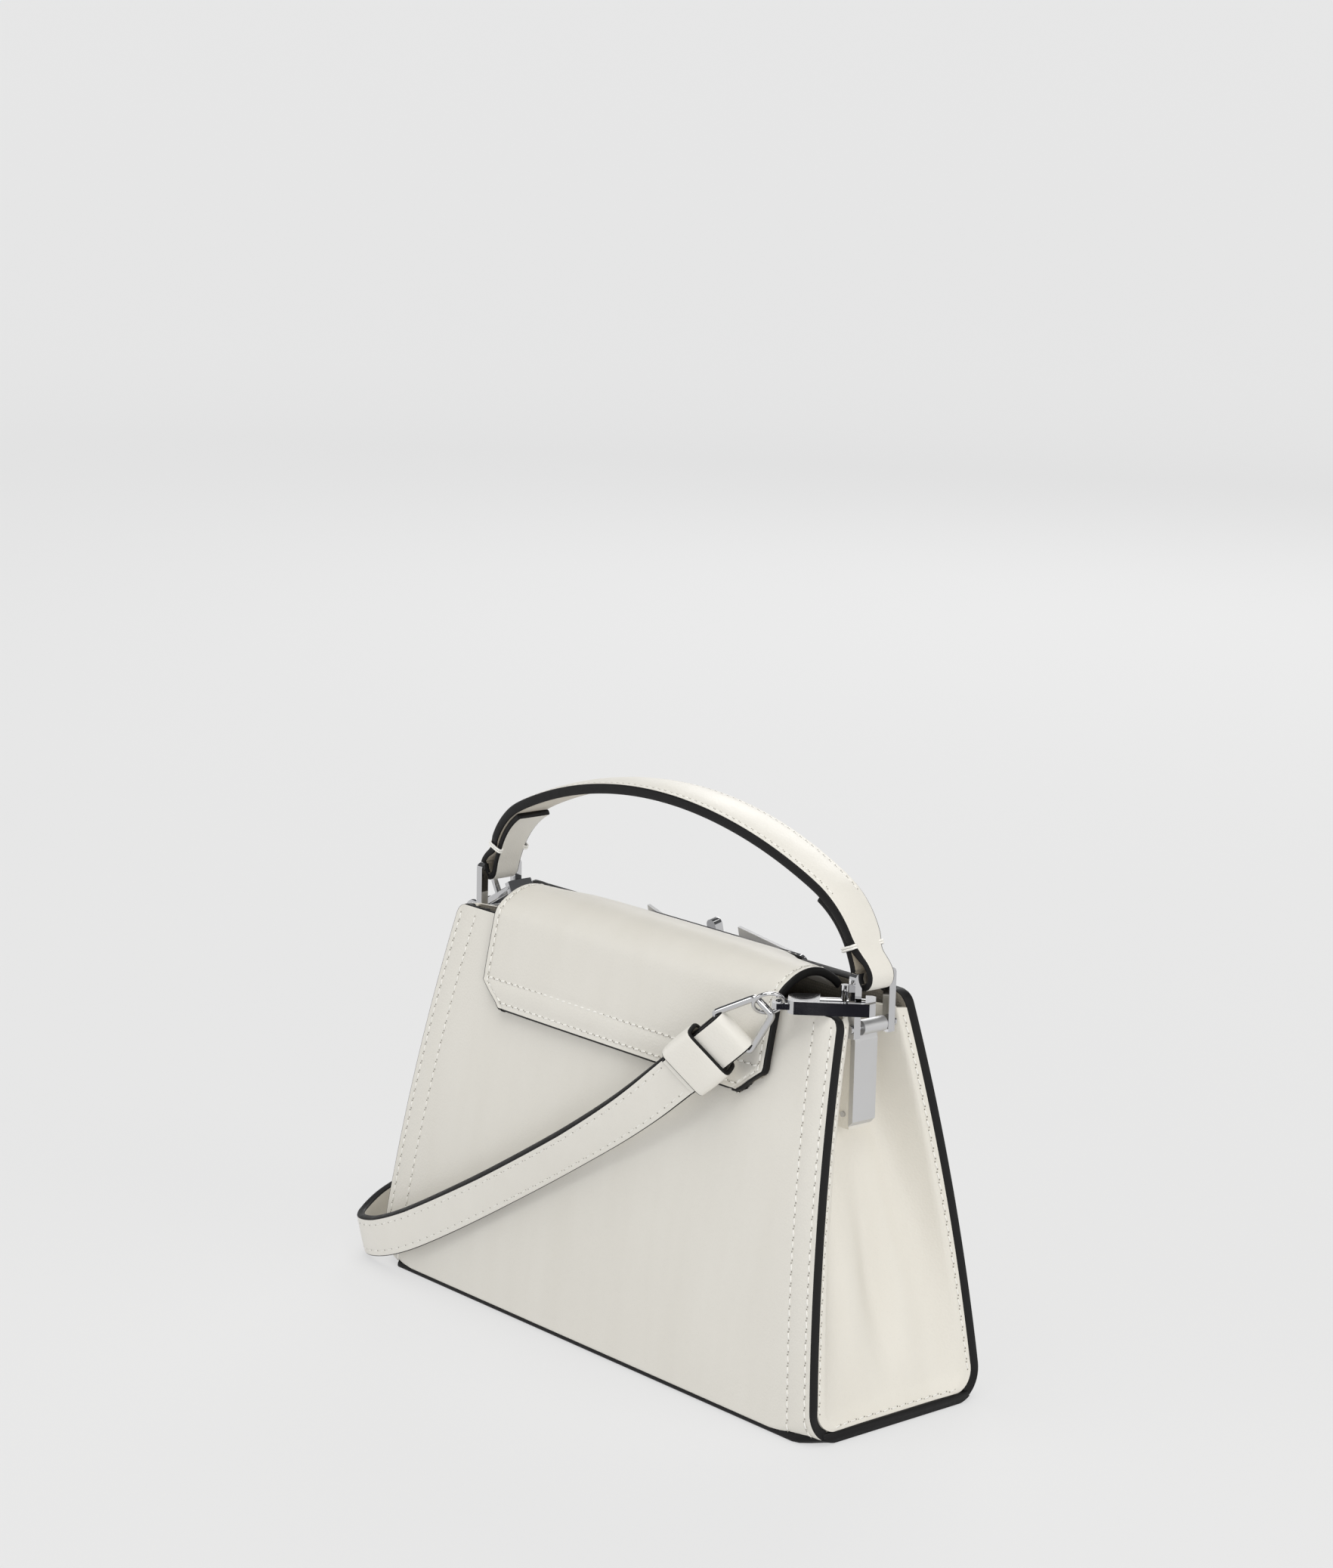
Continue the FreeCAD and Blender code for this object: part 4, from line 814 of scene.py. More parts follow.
def make_panel(name, s, top_y, top_z, thick=3.7):
    high = np.concatenate([np.linspace(0, 1, 78)[1:-5], 1 - np.array([5.0, 3.8, 2.8, 1.9, 1.0, 0.0]) / 131.0])
    edge = [0, 1.0, 1.6, 2.2, 2.8, 3.4, 4.0, 5.0, 6.4, 7.8, 9.2, 10.0, 10.6, 11.2, 11.8, 12.4, 13.4, 15, 20, 28]
    inner = np.linspace(-1, 1, 61)[1:-1]
    columns = []
    lead = np.concatenate([-np.array(edge, float), inner * 0, np.array(edge[::-1], float)])
    kind = np.concatenate([-np.ones(len(edge)), np.zeros(len(inner)), np.ones(len(edge))])
    mids = np.concatenate([np.zeros(len(edge)), inner, np.zeros(len(edge))])
    for ld, kd, md in zip(lead, kind, mids):
        # a column keeps its place from the edge from top to bottom
        x0 = kd * (END_X - abs(ld)) if kd else md * (END_X - 28)
        p, n = section(x0, top_y, top_z, high)
        col = []
        for (y, z), (ny, nz) in zip(p, n):
            hw = half_width(z, top_z)
            x = kd * (hw - abs(ld)) if kd else md * (hw - 28)
            off = max(side_line(z, top_z) - abs(x), 0.0)
            lift = -0.14 * hump(off, SEAMS[0], 0.8) - 0.16 * hump(off, SEAMS[1], 0.8) + 0.22 * hump(off, 7.0, 2.8)
            up = z / top_z
            fade = min(max((z - 4) / 10, 0), 1) * min(max((top_z - z) / 6, 0), 1)
            soft = 0.35 * math.sin(x / 31.0 + 2.3 * up) * math.sin(up * 7.1 + x / 57.0) + 0.12 * math.sin(x / 13.0 - up * 9.0)
            lift += soft * fade * min(max((off - 13) / 10, 0), 1) * 0.5
            col.append((x, s * (y + ny * lift), z + nz * lift))
        columns.append(col)
    rows = np.array(columns).transpose(1, 0, 2)
    r, c = rows.shape[:2]
    ob = shell(name + "_leather", rows.reshape(-1, 3), grid_faces(r, c, flip=(s > 0)), thick, [IVORY, LINING, EDGE], 0.4, clamp=False)
    own(ob, "shell", name)
    zs = np.concatenate([np.linspace(2.6, 14, 14), np.arange(16, top_z - 2.5, 2.0)])
    for k, seam in enumerate(SEAMS):
        for q, tag in ((1, "left"), (-1, "right")):
            line, nrm = [], []
            for z in zs:
                x = side_line(z, top_z) - seam
                y, y2 = outer_y(x, z, top_y, top_z), outer_y(x, z + 0.2, top_y, top_z)
                nn = unit([0.2, y - y2])
                line.append((q * x, s * (y - 0.08 * nn[0]), z - 0.08 * nn[1]))
                nrm.append((0, s * nn[0], nn[1]))
            stitches("%s_seam_%s_%d" % (name, tag, k), line, nrm, "shell", pitch=3.7, length=2.8)
    return ob


make_panel("back_panel", 1, 17.0, 139.0)
make_panel("front_panel", -1, 16.2, 143.8)


# ------------------------------------------------------------------ the base
def make_base():
    """The base with its painted edge, which shows under the panels as a line and
    at the ends as a band."""
    xs = np.concatenate([[-120.15, -119.9, -119.2], np.linspace(-118, 118, 95), [119.2, 119.9, 120.15]])
    rows, kinds = [], None
    for x in xs:
        yc, r, _ = heel(min(abs(x), END_X), 17.0, 139.0)
        cut = float(np.interp(abs(x), [119.2, 119.9, 120.15], [0.0, 0.12, 0.5]))
        foot = yc + r * math.cos(math.asin((FOOT + 0.25) / r - 1))
        yc_m, r_m, _ = heel(0.0, 17.0, 139.0)
        straight = yc_m + r_m * math.cos(math.asin((FOOT + 0.25) / r_m - 1))
        turn = min(max(abs(x) - 110.0, 0.0), 9.9)
        y0 = max(straight - (10.0 - math.sqrt(10.0**2 - turn**2)), foot) - cut
        if x > 108.5:
            # here the panel turns in over the corner of the base
            y0 = min(y0, foot - 2.2 * min((x - 108.5) / 3.0, 1.0))
        drop = ((1.85, 0.0), (1.5, 0.08), (1.2, 0.12), (0.95, 0.12), (0.7, 0.08), (0.45, -0.04), (0.25, -0.2), (0.1, -0.45), (0.0, -0.9))
        # towards the ends the painted edge takes up the round of the panel's corner
        end = min(max((abs(x) - 111.0) / 7.5, 0.0), 1.0)
        end = end * end * (3 - 2 * end)
        reach = math.sqrt(r * r - (r - 1.85) ** 2)
        bend = [(y0 + (1 - end) * dy + end * (math.sqrt(r * r - (r - z) ** 2) - reach), max(z, 0.4 * cut)) for z, dy in drop]
        top = 3.7 - cut
        y_in = bend[0][0] - 1.0
        half = [(y_in * 0.35, top), (y_in * 0.8, top), (y_in, top)] + bend + [(yc * 0.8, 0.4 * cut), (yc * 0.35, 0.4 * cut)]
        loop = half + [(-y, z) for y, z in half[::-1]]
        kinds = [0, 0, 1] + [1] * 8 + [0, 0, 0] 
        rows.append([(x, y, z) for y, z in loop])
    rows = np.array(rows)
    n, m = rows.shape[:2]
    h = m // 2
    faces, index = [], []
    for i in range(n - 1):
        for j in range(m):
            j2 = (j + 1) % m
            faces.append((i * m + j, i * m + j2, (i + 1) * m + j2, (i + 1) * m + j))
            k = j if j < h else m - 2 - j
            black = 2 <= k <= 10 or abs(xs[i]) > 118.5 or abs(xs[i + 1]) > 118.5
            index.append(1 if black else 0)
    faces.append(tuple(reversed(range(m))))
    faces.append(tuple((n - 1) * m + j for j in range(m)))
    index += [1, 1]
    ob = new_object("base_leather", rows.reshape(-1, 3) * MM, faces, [BACK, EDGE], index)
    own(ob, "shell", "base_panel")
    return ob


make_base()


# --------------------------------------------------------------- the gussets
def room_y(z, top_y, top_z):
    """How far a gusset reaches, front or back: to the inside of the panel's edge."""
    yc, r, z_t = heel(END_X, top_y, top_z)
    if z < z_t:
        return yc + math.sqrt(max((r - 3.6) ** 2 - (r - z) ** 2, 0.0))
    lean = math.atan2(outer_y(END_X, z, top_y, top_z) - outer_y(END_X, z + 0.2, top_y, top_z), 0.2)
    return outer_y(END_X, z, top_y, top_z) - 3.6 / math.cos(lean)


def make_gusset(name, s):
    """A soft side: its edges turn out along the panels and are sewn to them,
    and its middle falls into a shallow fold."""
    zs = np.concatenate([[3.65, 3.9, 4.3, 4.9, 5.7, 6.6, 7.6, 8.8, 10.2, 12.0], np.arange(14, 138.2, 2.0), [138.2]])
    rows = []
    k = np.linspace(-1, 1, 71)
    across = -np.sign(k) * (1 - (1 - np.abs(k)) ** 1.25)
    for z in zs:
        gx = float(np.interp(z, [3.65, 96.0, 138.4], [116.6, 90.5, 86.5])) + 2.4 * max((10 - z) / 6.35, 0) ** 1.7
        yb, yf = room_y(z, 17.0, 139.0), -room_y(z, 16.2, 143.8)
        edge_b, edge_f = half_width(z, 139.0) - 0.3, half_width(z, 143.8) - 0.3
        gx = min(gx, edge_b - 0.3)
        # from each edge the leather slopes in to the middle in a soft bend
        u = across
        mid, half = (yb + yf) / 2, (yb - yf) / 2
        edge = np.where(u > 0, edge_b, edge_f)
        lip = 3.6 / half
        v = np.clip((1 - np.abs(u) - lip) / (0.52 - 0.5 * lip), 0, 1)
        depth = 0.10 * np.clip((1 - np.abs(u)) / lip, 0, 1) + 0.90 * (1 - (1 - v) ** 2.2)
        x = edge - (edge - gx) * depth
        # the fold: deepest at half height, gone under the bracket and at the foot
        below = min(max((95.0 - z) / 45.0, 0), 1) * min(max((z - 8) / 34.0, 0), 1)
        x = x - 3.7 * below * np.exp(-(((u + 0.05) / 0.18) ** 2)) + 1.1 * below * np.exp(-(((np.abs(u) - 0.40) / 0.2) ** 2))
        x = x - 0.3 * below * np.sin(u * 6.3 + z / 13.0) * np.exp(-((u / 0.6) ** 2))
        line = np.column_stack([x, mid + u * half])
        rows.append(np.column_stack([s * line[:, 0], line[:, 1], np.full(len(line), z)]))
    rows = np.array(rows)
    r_, c_ = rows.shape[:2]
    ob = shell(name + "_leather", rows.reshape(-1, 3), grid_faces(r_, c_, flip=(s > 0)), 1.4, [IVORY_SOFT, LINING, IVORY_SOFT], 0.2)
    own(ob, "shell", name)
    # stitches inside the edges, down one side, along the foot and up the other
    for tag, q in (("front", -1), ("back", 1)):
        pts, nn = [], []
        for i in range(8, r_ - 2):
            row = rows[i]
            half = (row[0, 1] - row[-1, 1]) / 2
            y = (row[0, 1] + row[-1, 1]) / 2 + q * (half - (1.6 if q < 0 else 0.9))
            j = int(np.argmin(np.abs(row[:, 1] - y)))
            a, b = row[max(j - 1, 0)], row[min(j + 1, c_ - 1)]
            f = (y - a[1]) / (b[1] - a[1])
            way = b - a
            n2 = unit([abs(way[1]), -way[0] * np.sign(way[1])])
            pts.append(a + (b - a) * f)
            nn.append((s * abs(n2[0]), -q * abs(n2[1]), 0.1))
        stitches("%s_seam_%s" % (name, tag), pts, nn, "shell", pitch=3.7, length=2.7, radius=0.27)
    i = int(np.argmin(np.abs(zs - 5.3)))
    pts = rows[i, 6 : c_ - 6]
    nn = np.tile([s * 0.97, 0.0, 0.2], (len(pts), 1))
    stitches("%s_seam_foot" % name, pts, nn, "shell", pitch=3.7, length=2.7, radius=0.27)
    return ob


make_gusset("gusset_left", 1)
make_gusset("gusset_right", -1)


# ------------------------------------------------------------------ the flap
FLAP_HALF, TONGUE_HALF = 76.6, 49.0


def flap_lines():
    back = [np.array([(27.95, 107.5), (20.9, 141.2)]), arc((20.85, 141.9), (5.0, 150.6), 18.79, -1, 20)]
    ear = arc((5.0, 150.6), (-9.5, 142.0), 16.52, -1, 16)[1:]
    front = np.array([(0.5, 150.25), (-4.0, 149.0), (-10.0, 146.85), (-14.3, 145.3), (-17.6, 143.9), (-20.4, 141.7), (-22.4, 138.6), (-24.79, 131.0), (-31.2, 101.0)])
    back = np.vstack(back)
    with_ear = smooth_line(np.vstack([back, ear]), 2.2, 0.5)
    with_front = smooth_line(np.vstack([back, front]), 2.2, 0.5)
    return with_ear, with_front


def normals_2d(p):
    t = unit(np.gradient(p, axis=0))
    return np.stack([t[:, 1], -t[:, 0]], axis=1)


def make_flap():
    ear, front = flap_lines()
    # rows: the way up the back and over the crown is shared, then they part
    crown_e, crown_f = int(np.argmax(ear[:, 1])), int(np.argmax(front[:, 1]))
    shared = resample(front[: crown_f + 1], 1.3)
    down_e = resample(np.vstack([shared[-1:], ear[crown_e + 1 :]]), 1.3)[1:]
    down_f = resample(np.vstack([shared[-1:], front[crown_f + 1 :]]), 1.5)[1:]
    full_e, full_f = np.vstack([shared, down_e]), np.vstack([shared, down_f])
    n_e, n_f = normals_2d(full_e), normals_2d(full_f)
    k = len(shared)
    edge = np.array([0, 1.0, 1.6, 2.2, 2.6, 3.0, 3.4, 3.8, 4.6, 5.8, 7.5, 10, 13, 16.5, 20, 23.5, 27.0])
    ear_x = TONGUE_HALF + 0.6 + (FLAP_HALF - TONGUE_HALF - 0.6) * (1 - edge / 27.0)
    mid_edge = np.array([0, 1.0, 1.6, 2.2, 2.6, 3.0, 3.4, 3.8, 4.6, 5.8, 8, 11])
    mid_x = np.concatenate([TONGUE_HALF - mid_edge, np.linspace(TONGUE_HALF - 14, -(TONGUE_HALF - 14), 24), -(TONGUE_HALF - mid_edge[::-1])])
    verts, faces, weights = [], [], []

    def droop(x, z):
        """The arch is a little lower towards its ends."""
        u = min(max((abs(x) - 38.0) / 38.6, 0.0), 1.0)
        return 1.25 * u**1.5 * min(max((z - 141.5) / 6.0, 0.0), 1.0)

    def width_at(z, behind):
        if behind:
            return np.interp(z, [107.5, 116.5], [FLAP_HALF - 11.6, FLAP_HALF])
        return FLAP_HALF

    def tongue_at(z):
        return np.interp(z, [101.0, 118.0], [TONGUE_HALF - 11.0, TONGUE_HALF])

    def dent(off, row_at, length):
        return -0.3 * hump(off, 3.0, 0.6)

    def add(xyz, thin=False):
        verts.append(xyz)
        weights.append(float(np.interp(xyz[1], [-9, 3], [0.6, 1.0])) if thin else 1.0)
        return len(verts) - 1

    # past the crown the arch rises beside the tongue, and they part only past the crest
    over, arch, part = full_f[k - 1 :][::-1], full_e[k - 1 :][::-1], -8.2

    def beside(x):
        near = min(max((64.0 - abs(x)) / 14.4, 0.0), 1.0)
        return near * near * (3 - 2 * near)

    def place(line, nrm, i, x, lift, rise=False):
        y, z = line[i, 0] + nrm[i, 0] * lift, line[i, 1] + nrm[i, 1] * lift
        if rise:
            z_f = float(np.interp(y, over[:, 0], over[:, 1]))
            z += beside(x) * max(z_f - z, 0.0) * float(np.interp(y, [-9.6, part], [0.35, 1.0]))
        return (x, y, z - droop(x, z))

    s_tab = lengths(full_f)
    seam_rows = (3.0, 11.0)

    def lift_back(i, off):
        s = s_tab[i]
        z = full_f[i, 1]
        v = -0.3 * hump(off, 3.0, 0.6)
        if full_f[i, 0] > 15:
            v += -0.3 * hump(s, seam_rows[0], 0.8) - 0.3 * hump(s, seam_rows[1], 0.8) + 0.22 * hump(s, 7.0, 2.6)
        return v

    # shared rows, all columns from +X to -X
    cols = []
    table = []
    for i in range(k):
        z = full_f[i, 1]
        hw = width_at(z, True)
        row = []
        for x0 in np.concatenate([ear_x, mid_x, -ear_x[::-1]]):
            if abs(x0) > TONGUE_HALF:
                gap = FLAP_HALF - abs(x0)
                if gap > 5.9:
                    inner = TONGUE_HALF + 0.6
                    gap = hw - inner - (abs(x0) - inner) * (hw - 5.9 - inner) / (FLAP_HALF - 5.9 - inner)
                x = math.copysign(hw - gap, x0)
            else:
                x = x0
            off = hw - abs(x)
            sag = 0.35 * math.sin(x / 23.0 + i * 0.06) * min(1, off / 15.0)
            row.append(add(place(full_f, n_f, i, x, lift_back(i, off) + sag * 0.5)))
        table.append(row)
    for y in np.linspace(shared[-1, 0], part, 12)[1:]:
        z_f, z_e = np.interp(y, over[:, 0], over[:, 1]), np.interp(y, arch[:, 0], arch[:, 1])
        row = []
        for x in np.concatenate([ear_x, mid_x, -ear_x[::-1]]):
            tongue = abs(x) <= TONGUE_HALF
            z = float(z_f if tongue else z_e + beside(x) * (z_f - z_e)) - 0.2 * hump(FLAP_HALF - abs(x), 3.0, 0.7)
            row.append(add((x, y, z - droop(x, z)), tongue))
        table.append(row)
    ne, nm = len(ear_x), len(mid_x)
    total = 2 * ne + nm
    for i in range(len(table) - 1):
        for j in range(total - 1):
            faces.append((table[i][j], table[i][j + 1], table[i + 1][j + 1], table[i + 1][j]))

    def strip(line, nrm, start, columns, first_row, wide):
        prev = first_row
        for i in range(start, len(line)):
            z = line[i, 1]
            row = []
            for x0 in columns:
                if wide:
                    x, off = x0, FLAP_HALF - abs(x0)
                else:
                    hw = tongue_at(z) if line[i, 0] < -15 else TONGUE_HALF
                    x = x0 * hw / TONGUE_HALF
                    off = hw - abs(x)
                row.append(add(place(line, nrm, i, x, -0.2 * hump(off, 3.0, 0.7), wide), not wide))
            for j in range(len(columns) - 1):
                faces.append((prev[j], prev[j + 1], row[j + 1], row[j]))
            prev = row
        return prev

    last = table[-1]
    k_e = int(np.argmax((np.arange(len(full_e)) >= k) & (full_e[:, 0] < part - 0.2)))
    k_f = int(np.argmax((np.arange(len(full_f)) >= k) & (full_f[:, 0] < part - 0.7)))
    strip(full_e, n_e, k_e, ear_x, last[:ne], True)
    strip(full_f, n_f, k_f, mid_x, last[ne : ne + nm], False)
    strip(full_e, n_e, k_e, -ear_x[::-1], last[ne + nm :], True)
    verts = np.array(verts)
    faces = np.array(faces)
    ob = shell("flap_leather", verts, faces, 3.0, [IVORY, SUEDE, EDGE], 0.75, weights, clamp=False)
    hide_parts("flap", "flap_tab")
    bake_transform(ob)

    def lay(row_pts, name):
        p3 = np.array(row_pts)
        return p3

    # stitch lines: round the tab, along its second row, up over the arch
    def on_line(line, nrm, i, x):
        z = line[i, 1] - 0.16 * nrm[i, 1]
        return np.array([x, line[i, 0] - 0.16 * nrm[i, 0], z - droop(x, z)]), np.array([0, nrm[i, 0], nrm[i, 1]])

    made = []
    i1 = int(np.argmin(np.abs(s_tab - seam_rows[0])))
    i2 = int(np.argmin(np.abs(s_tab - seam_rows[1])))
    for tag, i in (("low", i1), ("high", i2)):
        hw = width_at(full_f[i, 1], True) - 3.0 - (1.0 if tag == "low" else 0)
        xs = np.linspace(-hw, hw, 120)
        got = [on_line(full_f, n_f, i, x) for x in xs]
        st = stitches("flap_seam_" + tag, [g[0] for g in got], [g[1] for g in got], "shell", pitch=3.5, length=2.7)
        made.append(st)
    for q, tag in ((1, "left"), (-1, "right")):
        got = []
        for i in range(i1, len(full_e)):
            z = full_e[i, 1]
            hw = width_at(z, i < k)
            shift = 3.0 + 1.2 * float(np.clip((116.5 - z) / 4, 0, 1)) if i < k else 3.0
            got.append(on_line(full_e, n_e, i, q * (hw - shift)))
        cut = int(np.argmax(np.array([g[0][2] for g in got]) > 139.0))
        low, high = got[: cut + 1], got[cut:]
        made.append(stitches("flap_side_seam_%s_tab" % tag, [g[0] for g in low], [g[1] for g in low], "shell", pitch=3.5, length=2.7))
        up_seam = stitches("flap_side_seam_%s_arch" % tag, [g[0] for g in high], [g[1] for g in high], None, pitch=3.5, length=2.7)
        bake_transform(up_seam)
    # the tongue's own edge row
    got = []
    for q in (1, -1):
        side_pts = []
        for i in range(k_f + 1, len(full_f) - 2):
            z = full_f[i, 1]
            hw = tongue_at(z) if full_f[i, 0] < -15 else TONGUE_HALF
            side_pts.append(on_line(full_f, n_f, i, q * (hw - 3.0)))
        stitches("tongue_side_seam_%s" % ("left" if q > 0 else "right"), [g[0] for g in side_pts], [g[1] for g in side_pts], "flap")
    i = len(full_f) - 3
    xs = np.linspace(-(tongue_at(full_f[i, 1]) - 4.5), tongue_at(full_f[i, 1]) - 4.5, 60)
    got = [on_line(full_f, n_f, i, x) for x in xs]
    stitches("tongue_low_seam", [g[0] for g in got], [g[1] for g in got], "flap")


make_flap()


# ---------------------------------------------------------------- the handle
def make_handle():
    """One strip: from its turned end on the left, round the left ring's bar, over
    the crown, round the right bar and back to its other turned end."""
    cx, cz = 64.9, 146.7
    crown = math.asin(80.0 / 191.0)
    end = math.radians(70.7)
    bar = np.array([100.5, 151.0])

    def bend(r, a):
        return np.array([cx + r * math.sin(a), cz + r * math.cos(a)])

    half = []
    for a in np.linspace(math.radians(30.0), math.radians(66.0), 24):
        half.append((*bend(31.35, a), 0))
    r = 3.85
    half.append((94.9, 156.2, 0))
    half.append((95.9, 153.9, 1))
    for a in np.linspace(math.radians(188), math.radians(395), 26):
        half.append((bar[0] + r * math.cos(a), bar[1] + r * math.sin(a), 1))
    half.append((101.6, 155.6, 1))
    half.append((98.6, 157.6, 2))
    for a in np.linspace(math.radians(67.5), crown, 20):
        half.append((*bend(34.3, a), 2))
    big = 191.0 - 1.7
    for a in np.linspace(crown, 0, 40)[1:]:
        half.append((big * math.sin(a), 6.0 + big * math.cos(a), 2))
    half = np.array(half)
    line = half[:, :2]
    line = smooth_line(line, 0.9, 0.7)
    s = lengths(line)
    # mirror the other half on
    full = np.vstack([line, (line * [-1, 1])[::-1][1:]])
    n = len(full)
    sf = lengths(full)
    total = sf[-1]
    d = np.minimum(sf, total - sf)
    # where along the half each stretch lies
    tab_len = 24.0
    loop_end = s[int(np.argmin(np.linalg.norm(line - [98.6, 157.6], axis=1)))]
    z = full[:, 1]
    t = np.interp(d, [0, loop_end - 3, loop_end + 4], [2.1, 2.2, 3.4])
    half_w = np.interp(z, [153, 158, 163, 175.5, 187, 194, 200], [5.2, 5.5, 6.9, 8.0, 8.9, 9.6, 10.0])
    tab_w = np.interp(d, [0, 10, 20, loop_end - 8, loop_end], [7.3, 6.5, 5.8, 5.3, 5.3])
    mixw = np.clip((d - loop_end + 4) / 5, 0, 1)
    half_w = tab_w * (1 - mixw) + half_w * mixw
    dome = np.interp(d, [0, loop_end + 6, loop_end + 26, total / 2], [0.05, 0.1, 1.1, 1.6])
    path = np.column_stack([full[:, 0], np.zeros(n), full[:, 1]])
    tan = unit(np.gradient(full, axis=0))
    nrm2 = np.stack([tan[:, 1], -tan[:, 0]], axis=1)
    i = n // 2
    if nrm2[i, 1] < 0:
        nrm2 = -nrm2
    nrm = np.column_stack([nrm2[:, 0], np.zeros(n), nrm2[:, 1]])
    ob, side, up = ribbon("handle_leather", path, nrm, 2 * half_w, t, [IVORY, SUEDE, EDGE], dome=dome, groove=2.2, step_groove=np.interp(d, [0, loop_end + 10, loop_end + 30], [0, 0, 0.14]))
    # the inner face of the band is suede, which shows in the loops
    own(ob, "handle", "handle", "handle_tab_left", "handle_tab_right")
    keep = (d > loop_end + 22)
    for k, row in enumerate(rows_on(path, up, side, half_w, t + 0.25, 2.2)):
        a = 2.2 / half_w
        row = row + up * (dome * (1 - (1 - a) ** 2) * 0.9 - 0.08)[:, None]
        stitches("handle_stitches_%d" % k, row[keep], up[keep], "handle", pitch=3.2, length=2.3, radius=0.2)
    return loop_end


make_handle()


def thread_tack(s):
    """A few turns of white thread round each edge of the handle's neck."""
    cx, cz = 64.9, 146.7
    a = math.radians(66.5)
    c = np.array([cx + 32.9 * math.sin(a), cz + 32.9 * math.cos(a)])
    out = np.array([math.sin(a), math.cos(a)])
    along = np.array([math.cos(a), -math.sin(a)])
    for q, tag in ((1, "back"), (-1, "front")):
        for i, k in enumerate((-0.42, 0.42)):
            ring = []
            for w in np.linspace(0, 2 * math.pi, 40, endpoint=False):
                y = 5.95 + 1.15 * math.copysign(abs(math.cos(w)) ** 0.5, math.cos(w))
                h = 3.3 * math.copysign(abs(math.sin(w)) ** 0.5, math.sin(w))
                p2 = c + out * h + along * (k + 0.1 * math.sin(3 * w))
                ring.append((s * p2[0], q * y, p2[1]))
            ring = smooth_line(np.array(ring), 0.5, 0.4, closed=True)
            ob = wire("thread_tack_%s_%s_%d" % ("left" if s > 0 else "right", tag, i), ring, 0.40, THREAD, ring=8)
            own(ob, "handle")


thread_tack(1)
thread_tack(-1)

# ------------------------------------------------------------------ hardware
for name in (
    "handle_ring_left",
    "handle_ring_right",
    "bracket_plate_left",
    "bracket_plate_right",
    "clip_frame_left",
    "clip_frame_right",
):
    soften(NODES[name], 0.0007 if name.startswith("bracket") else 0.00035, 2 if name.startswith("bracket") else 3)
for name in ("lock_plate", "lock_wing_left", "lock_wing_right", "turn_knob"):
    soften(NODES[name], 0.0002, 2)
for name in ("clip_bolt_left", "clip_bolt_right", "hinge_pin_left", "hinge_pin_right", "bracket_screws_left", "bracket_screws_right"):
    soften(NODES[name], 0.0002, 2)
for name in ("bracket_block_left", "bracket_block_right"):
    soften(NODES[name], 0.0006)
    NODES[name].data.materials.clear()
    NODES[name].data.materials.append(IVORY_SOFT)
soften(NODES["slip_pocket"], 0.0004)
soften(NODES["base_board"], 0.0004)


def paint(name, mat):
    me = NODES[name].data
    me.materials.clear()
    me.materials.append(mat)


for name in NODES:
    if name.startswith(("handle_ring", "bracket_plate", "bracket_screws", "clip_", "round_link", "hinge_pin", "lock_", "turn_knob")):
        paint(name, CHROME)
for name in ("lock_wing_left", "lock_wing_right", "bracket_plate_left", "bracket_plate_right"):
    paint(name, CHROME_SATIN)
paint("slip_pocket", LINING)
paint("base_board", LINING)
paint("magnet_flap", STEEL)
paint("magnet_front", STEEL)


# --------------------------------------------------------- floor and lights
def make_stage():
    """A round pale floor that turns up into a low wall. It glows a little, as a
    lit studio sweep does, so that it is even from the bag out to the wall."""
    m = Nodes("floor_pale")
    n = m.noise(3.0, 2.0)
    far = m.node("ShaderNodeVectorMath")
    far.operation = "LENGTH"
    m.join(m.where, far.inputs[0])
    m.set(
        Base_Color=m.blend(n, (0.20, 0.20, 0.20), (0.195, 0.195, 0.195)),
        Roughness=0.95,
        Emission_Color=(1.0, 1.0, 1.0),
        Emission_Strength=m.span(far.outputs["Value"], 0.3, 3.6, 0.60, 0.71),
    )
    m.bsdf.inputs["Specular IOR Level"].default_value = 0.0
    prof = [(0.02, 0.0), (0.4, 0.0), (1.0, 0.0), (2.0, 0.0), (3.2, 0.0)]
    for a in np.linspace(0, math.pi / 2, 16)[1:]:
        prof.append((3.2 + 1.6 * math.sin(a), 1.6 - 1.6 * math.cos(a)))
    prof.append((4.8, 1.9))
    k = 96
    verts = []
    for r, z in prof:
        for a in np.linspace(0, 2 * math.pi, k, endpoint=False):
            verts.append((r * math.cos(a), r * math.sin(a), z - 0.0002))
    faces = []
    for i in range(len(prof) - 1):
        for j in range(k):
            j2 = (j + 1) % k
            faces.append((i * k + j, (i + 1) * k + j, (i + 1) * k + j2, i * k + j2))
    faces.append(tuple(range(k)))
    ob = new_object("floor", verts, faces, [m.mat])


make_stage()


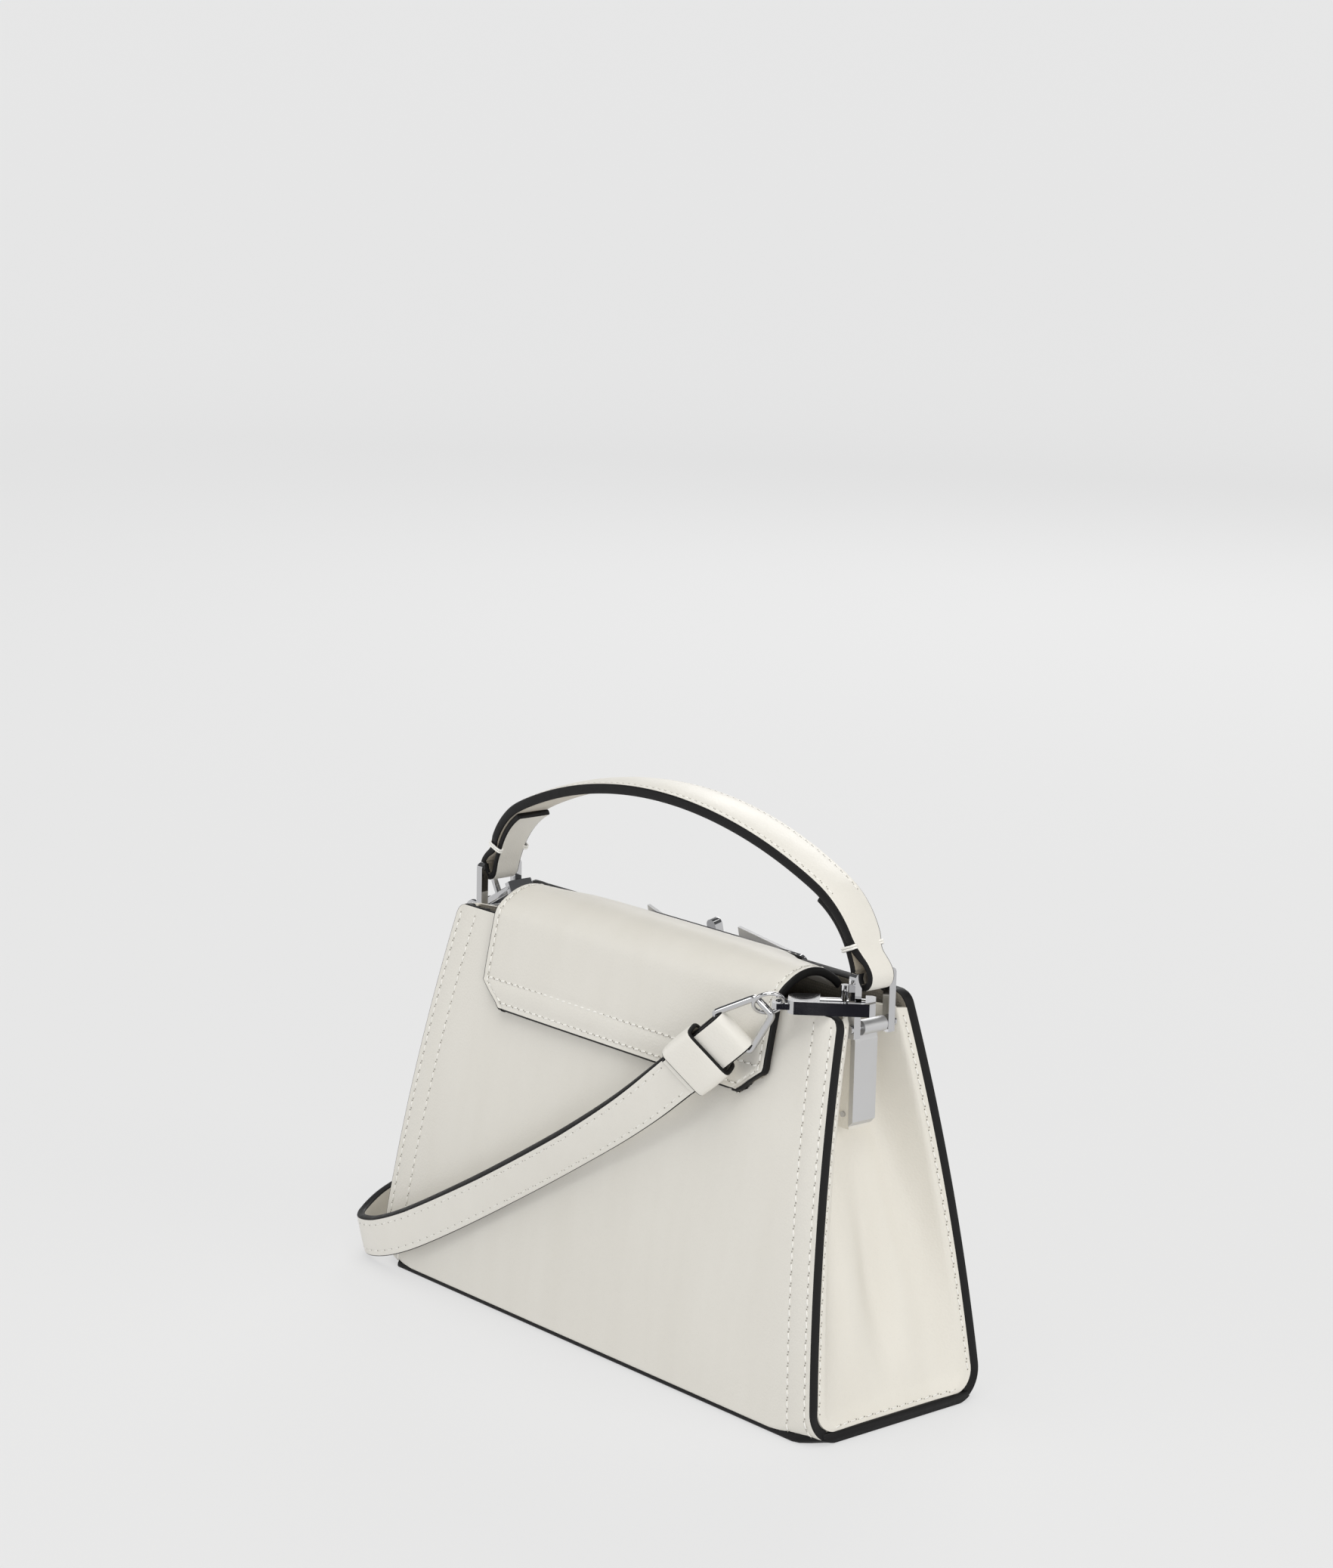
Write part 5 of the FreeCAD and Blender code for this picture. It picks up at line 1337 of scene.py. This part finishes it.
def make_flags():
    """Dark cards, one high and one low, that only the bright metal mirrors."""
    m = Nodes("flag_dark")
    n = m.noise(2.0, 2.0)
    m.set(Base_Color=m.blend(n, (0.012, 0.012, 0.018), (0.02, 0.02, 0.026)), Roughness=0.9)
    m.bsdf.inputs["Specular IOR Level"].default_value = 0.0
    c = Vector((-1.72, 1.48, 0.72))
    ahead = (Vector((0, 0, 0.12)) - c).normalized()
    right = ahead.cross(Vector((0, 0, 1))).normalized()
    up = right.cross(ahead)
    verts = [c + right * (a * 0.75) + up * (b * 0.5) for a, b in ((-1, -1), (1, -1), (1, 1), (-1, 1))]
    cards = [new_object("flag_behind", [tuple(v) for v in verts], [(0, 1, 2, 3)], [m.mat], smooth=False)]
    away = Vector((-0.754, 0.656, 0.0))
    aside = Vector((0.656, 0.754, 0.0))
    verts = [away * d + aside * w + Vector((0, 0, 0.002)) for d, w in ((0.50, -0.17), (0.76, -0.17), (0.76, 0.15), (0.50, 0.15))]
    cards.append(new_object("flag_low", [tuple(v) for v in verts], [(0, 1, 2, 3)], [m.mat], smooth=False))
    for card in cards:
        card.visible_camera = card.visible_shadow = card.visible_diffuse = False


make_flags()


def area(name, at, to, size, power, colour=(1, 1, 1)):
    d = bpy.data.lights.new(name, "AREA")
    d.shape, d.size, d.size_y, d.energy, d.color = "RECTANGLE", size[0], size[1], power, colour
    ob = bpy.data.objects.new(name, d)
    ob.location = at
    ob.rotation_euler = (Vector(to) - Vector(at)).to_track_quat("-Z", "Y").to_euler()
    SCENE.collection.objects.link(ob)


area("top_light", (-0.25, 0.35, 1.9), (0, 0, 0.05), (2.0, 2.0), 30, (1.0, 0.995, 0.98))
area("left_light", (0.9, 1.9, 1.1), (0, 0, 0.08), (1.0, 1.0), 5.5)
area("right_light", (-2.0, -0.5, 1.1), (-0.05, 0, 0.08), (1.1, 1.2), 8.8, (1.0, 0.98, 0.94))
area("near_light", (-1.45, 0.95, 0.32), (-0.02, 0, 0.09), (0.6, 0.5), 5.8)
area("front_light", (1.2, -1.65, 1.3), (0, 0, 0.08), (1.1, 1.0), 14)
world = bpy.data.worlds.new("world")
SCENE.world = world
world.use_nodes = True
world.node_tree.nodes["Background"].inputs[0].default_value = (0.95, 0.97, 1.0, 1)
world.node_tree.nodes["Background"].inputs[1].default_value = 0.12
SCENE.view_settings.view_transform = "Standard"
SCENE.view_settings.look = "None"
SCENE.view_settings.exposure = 0.0
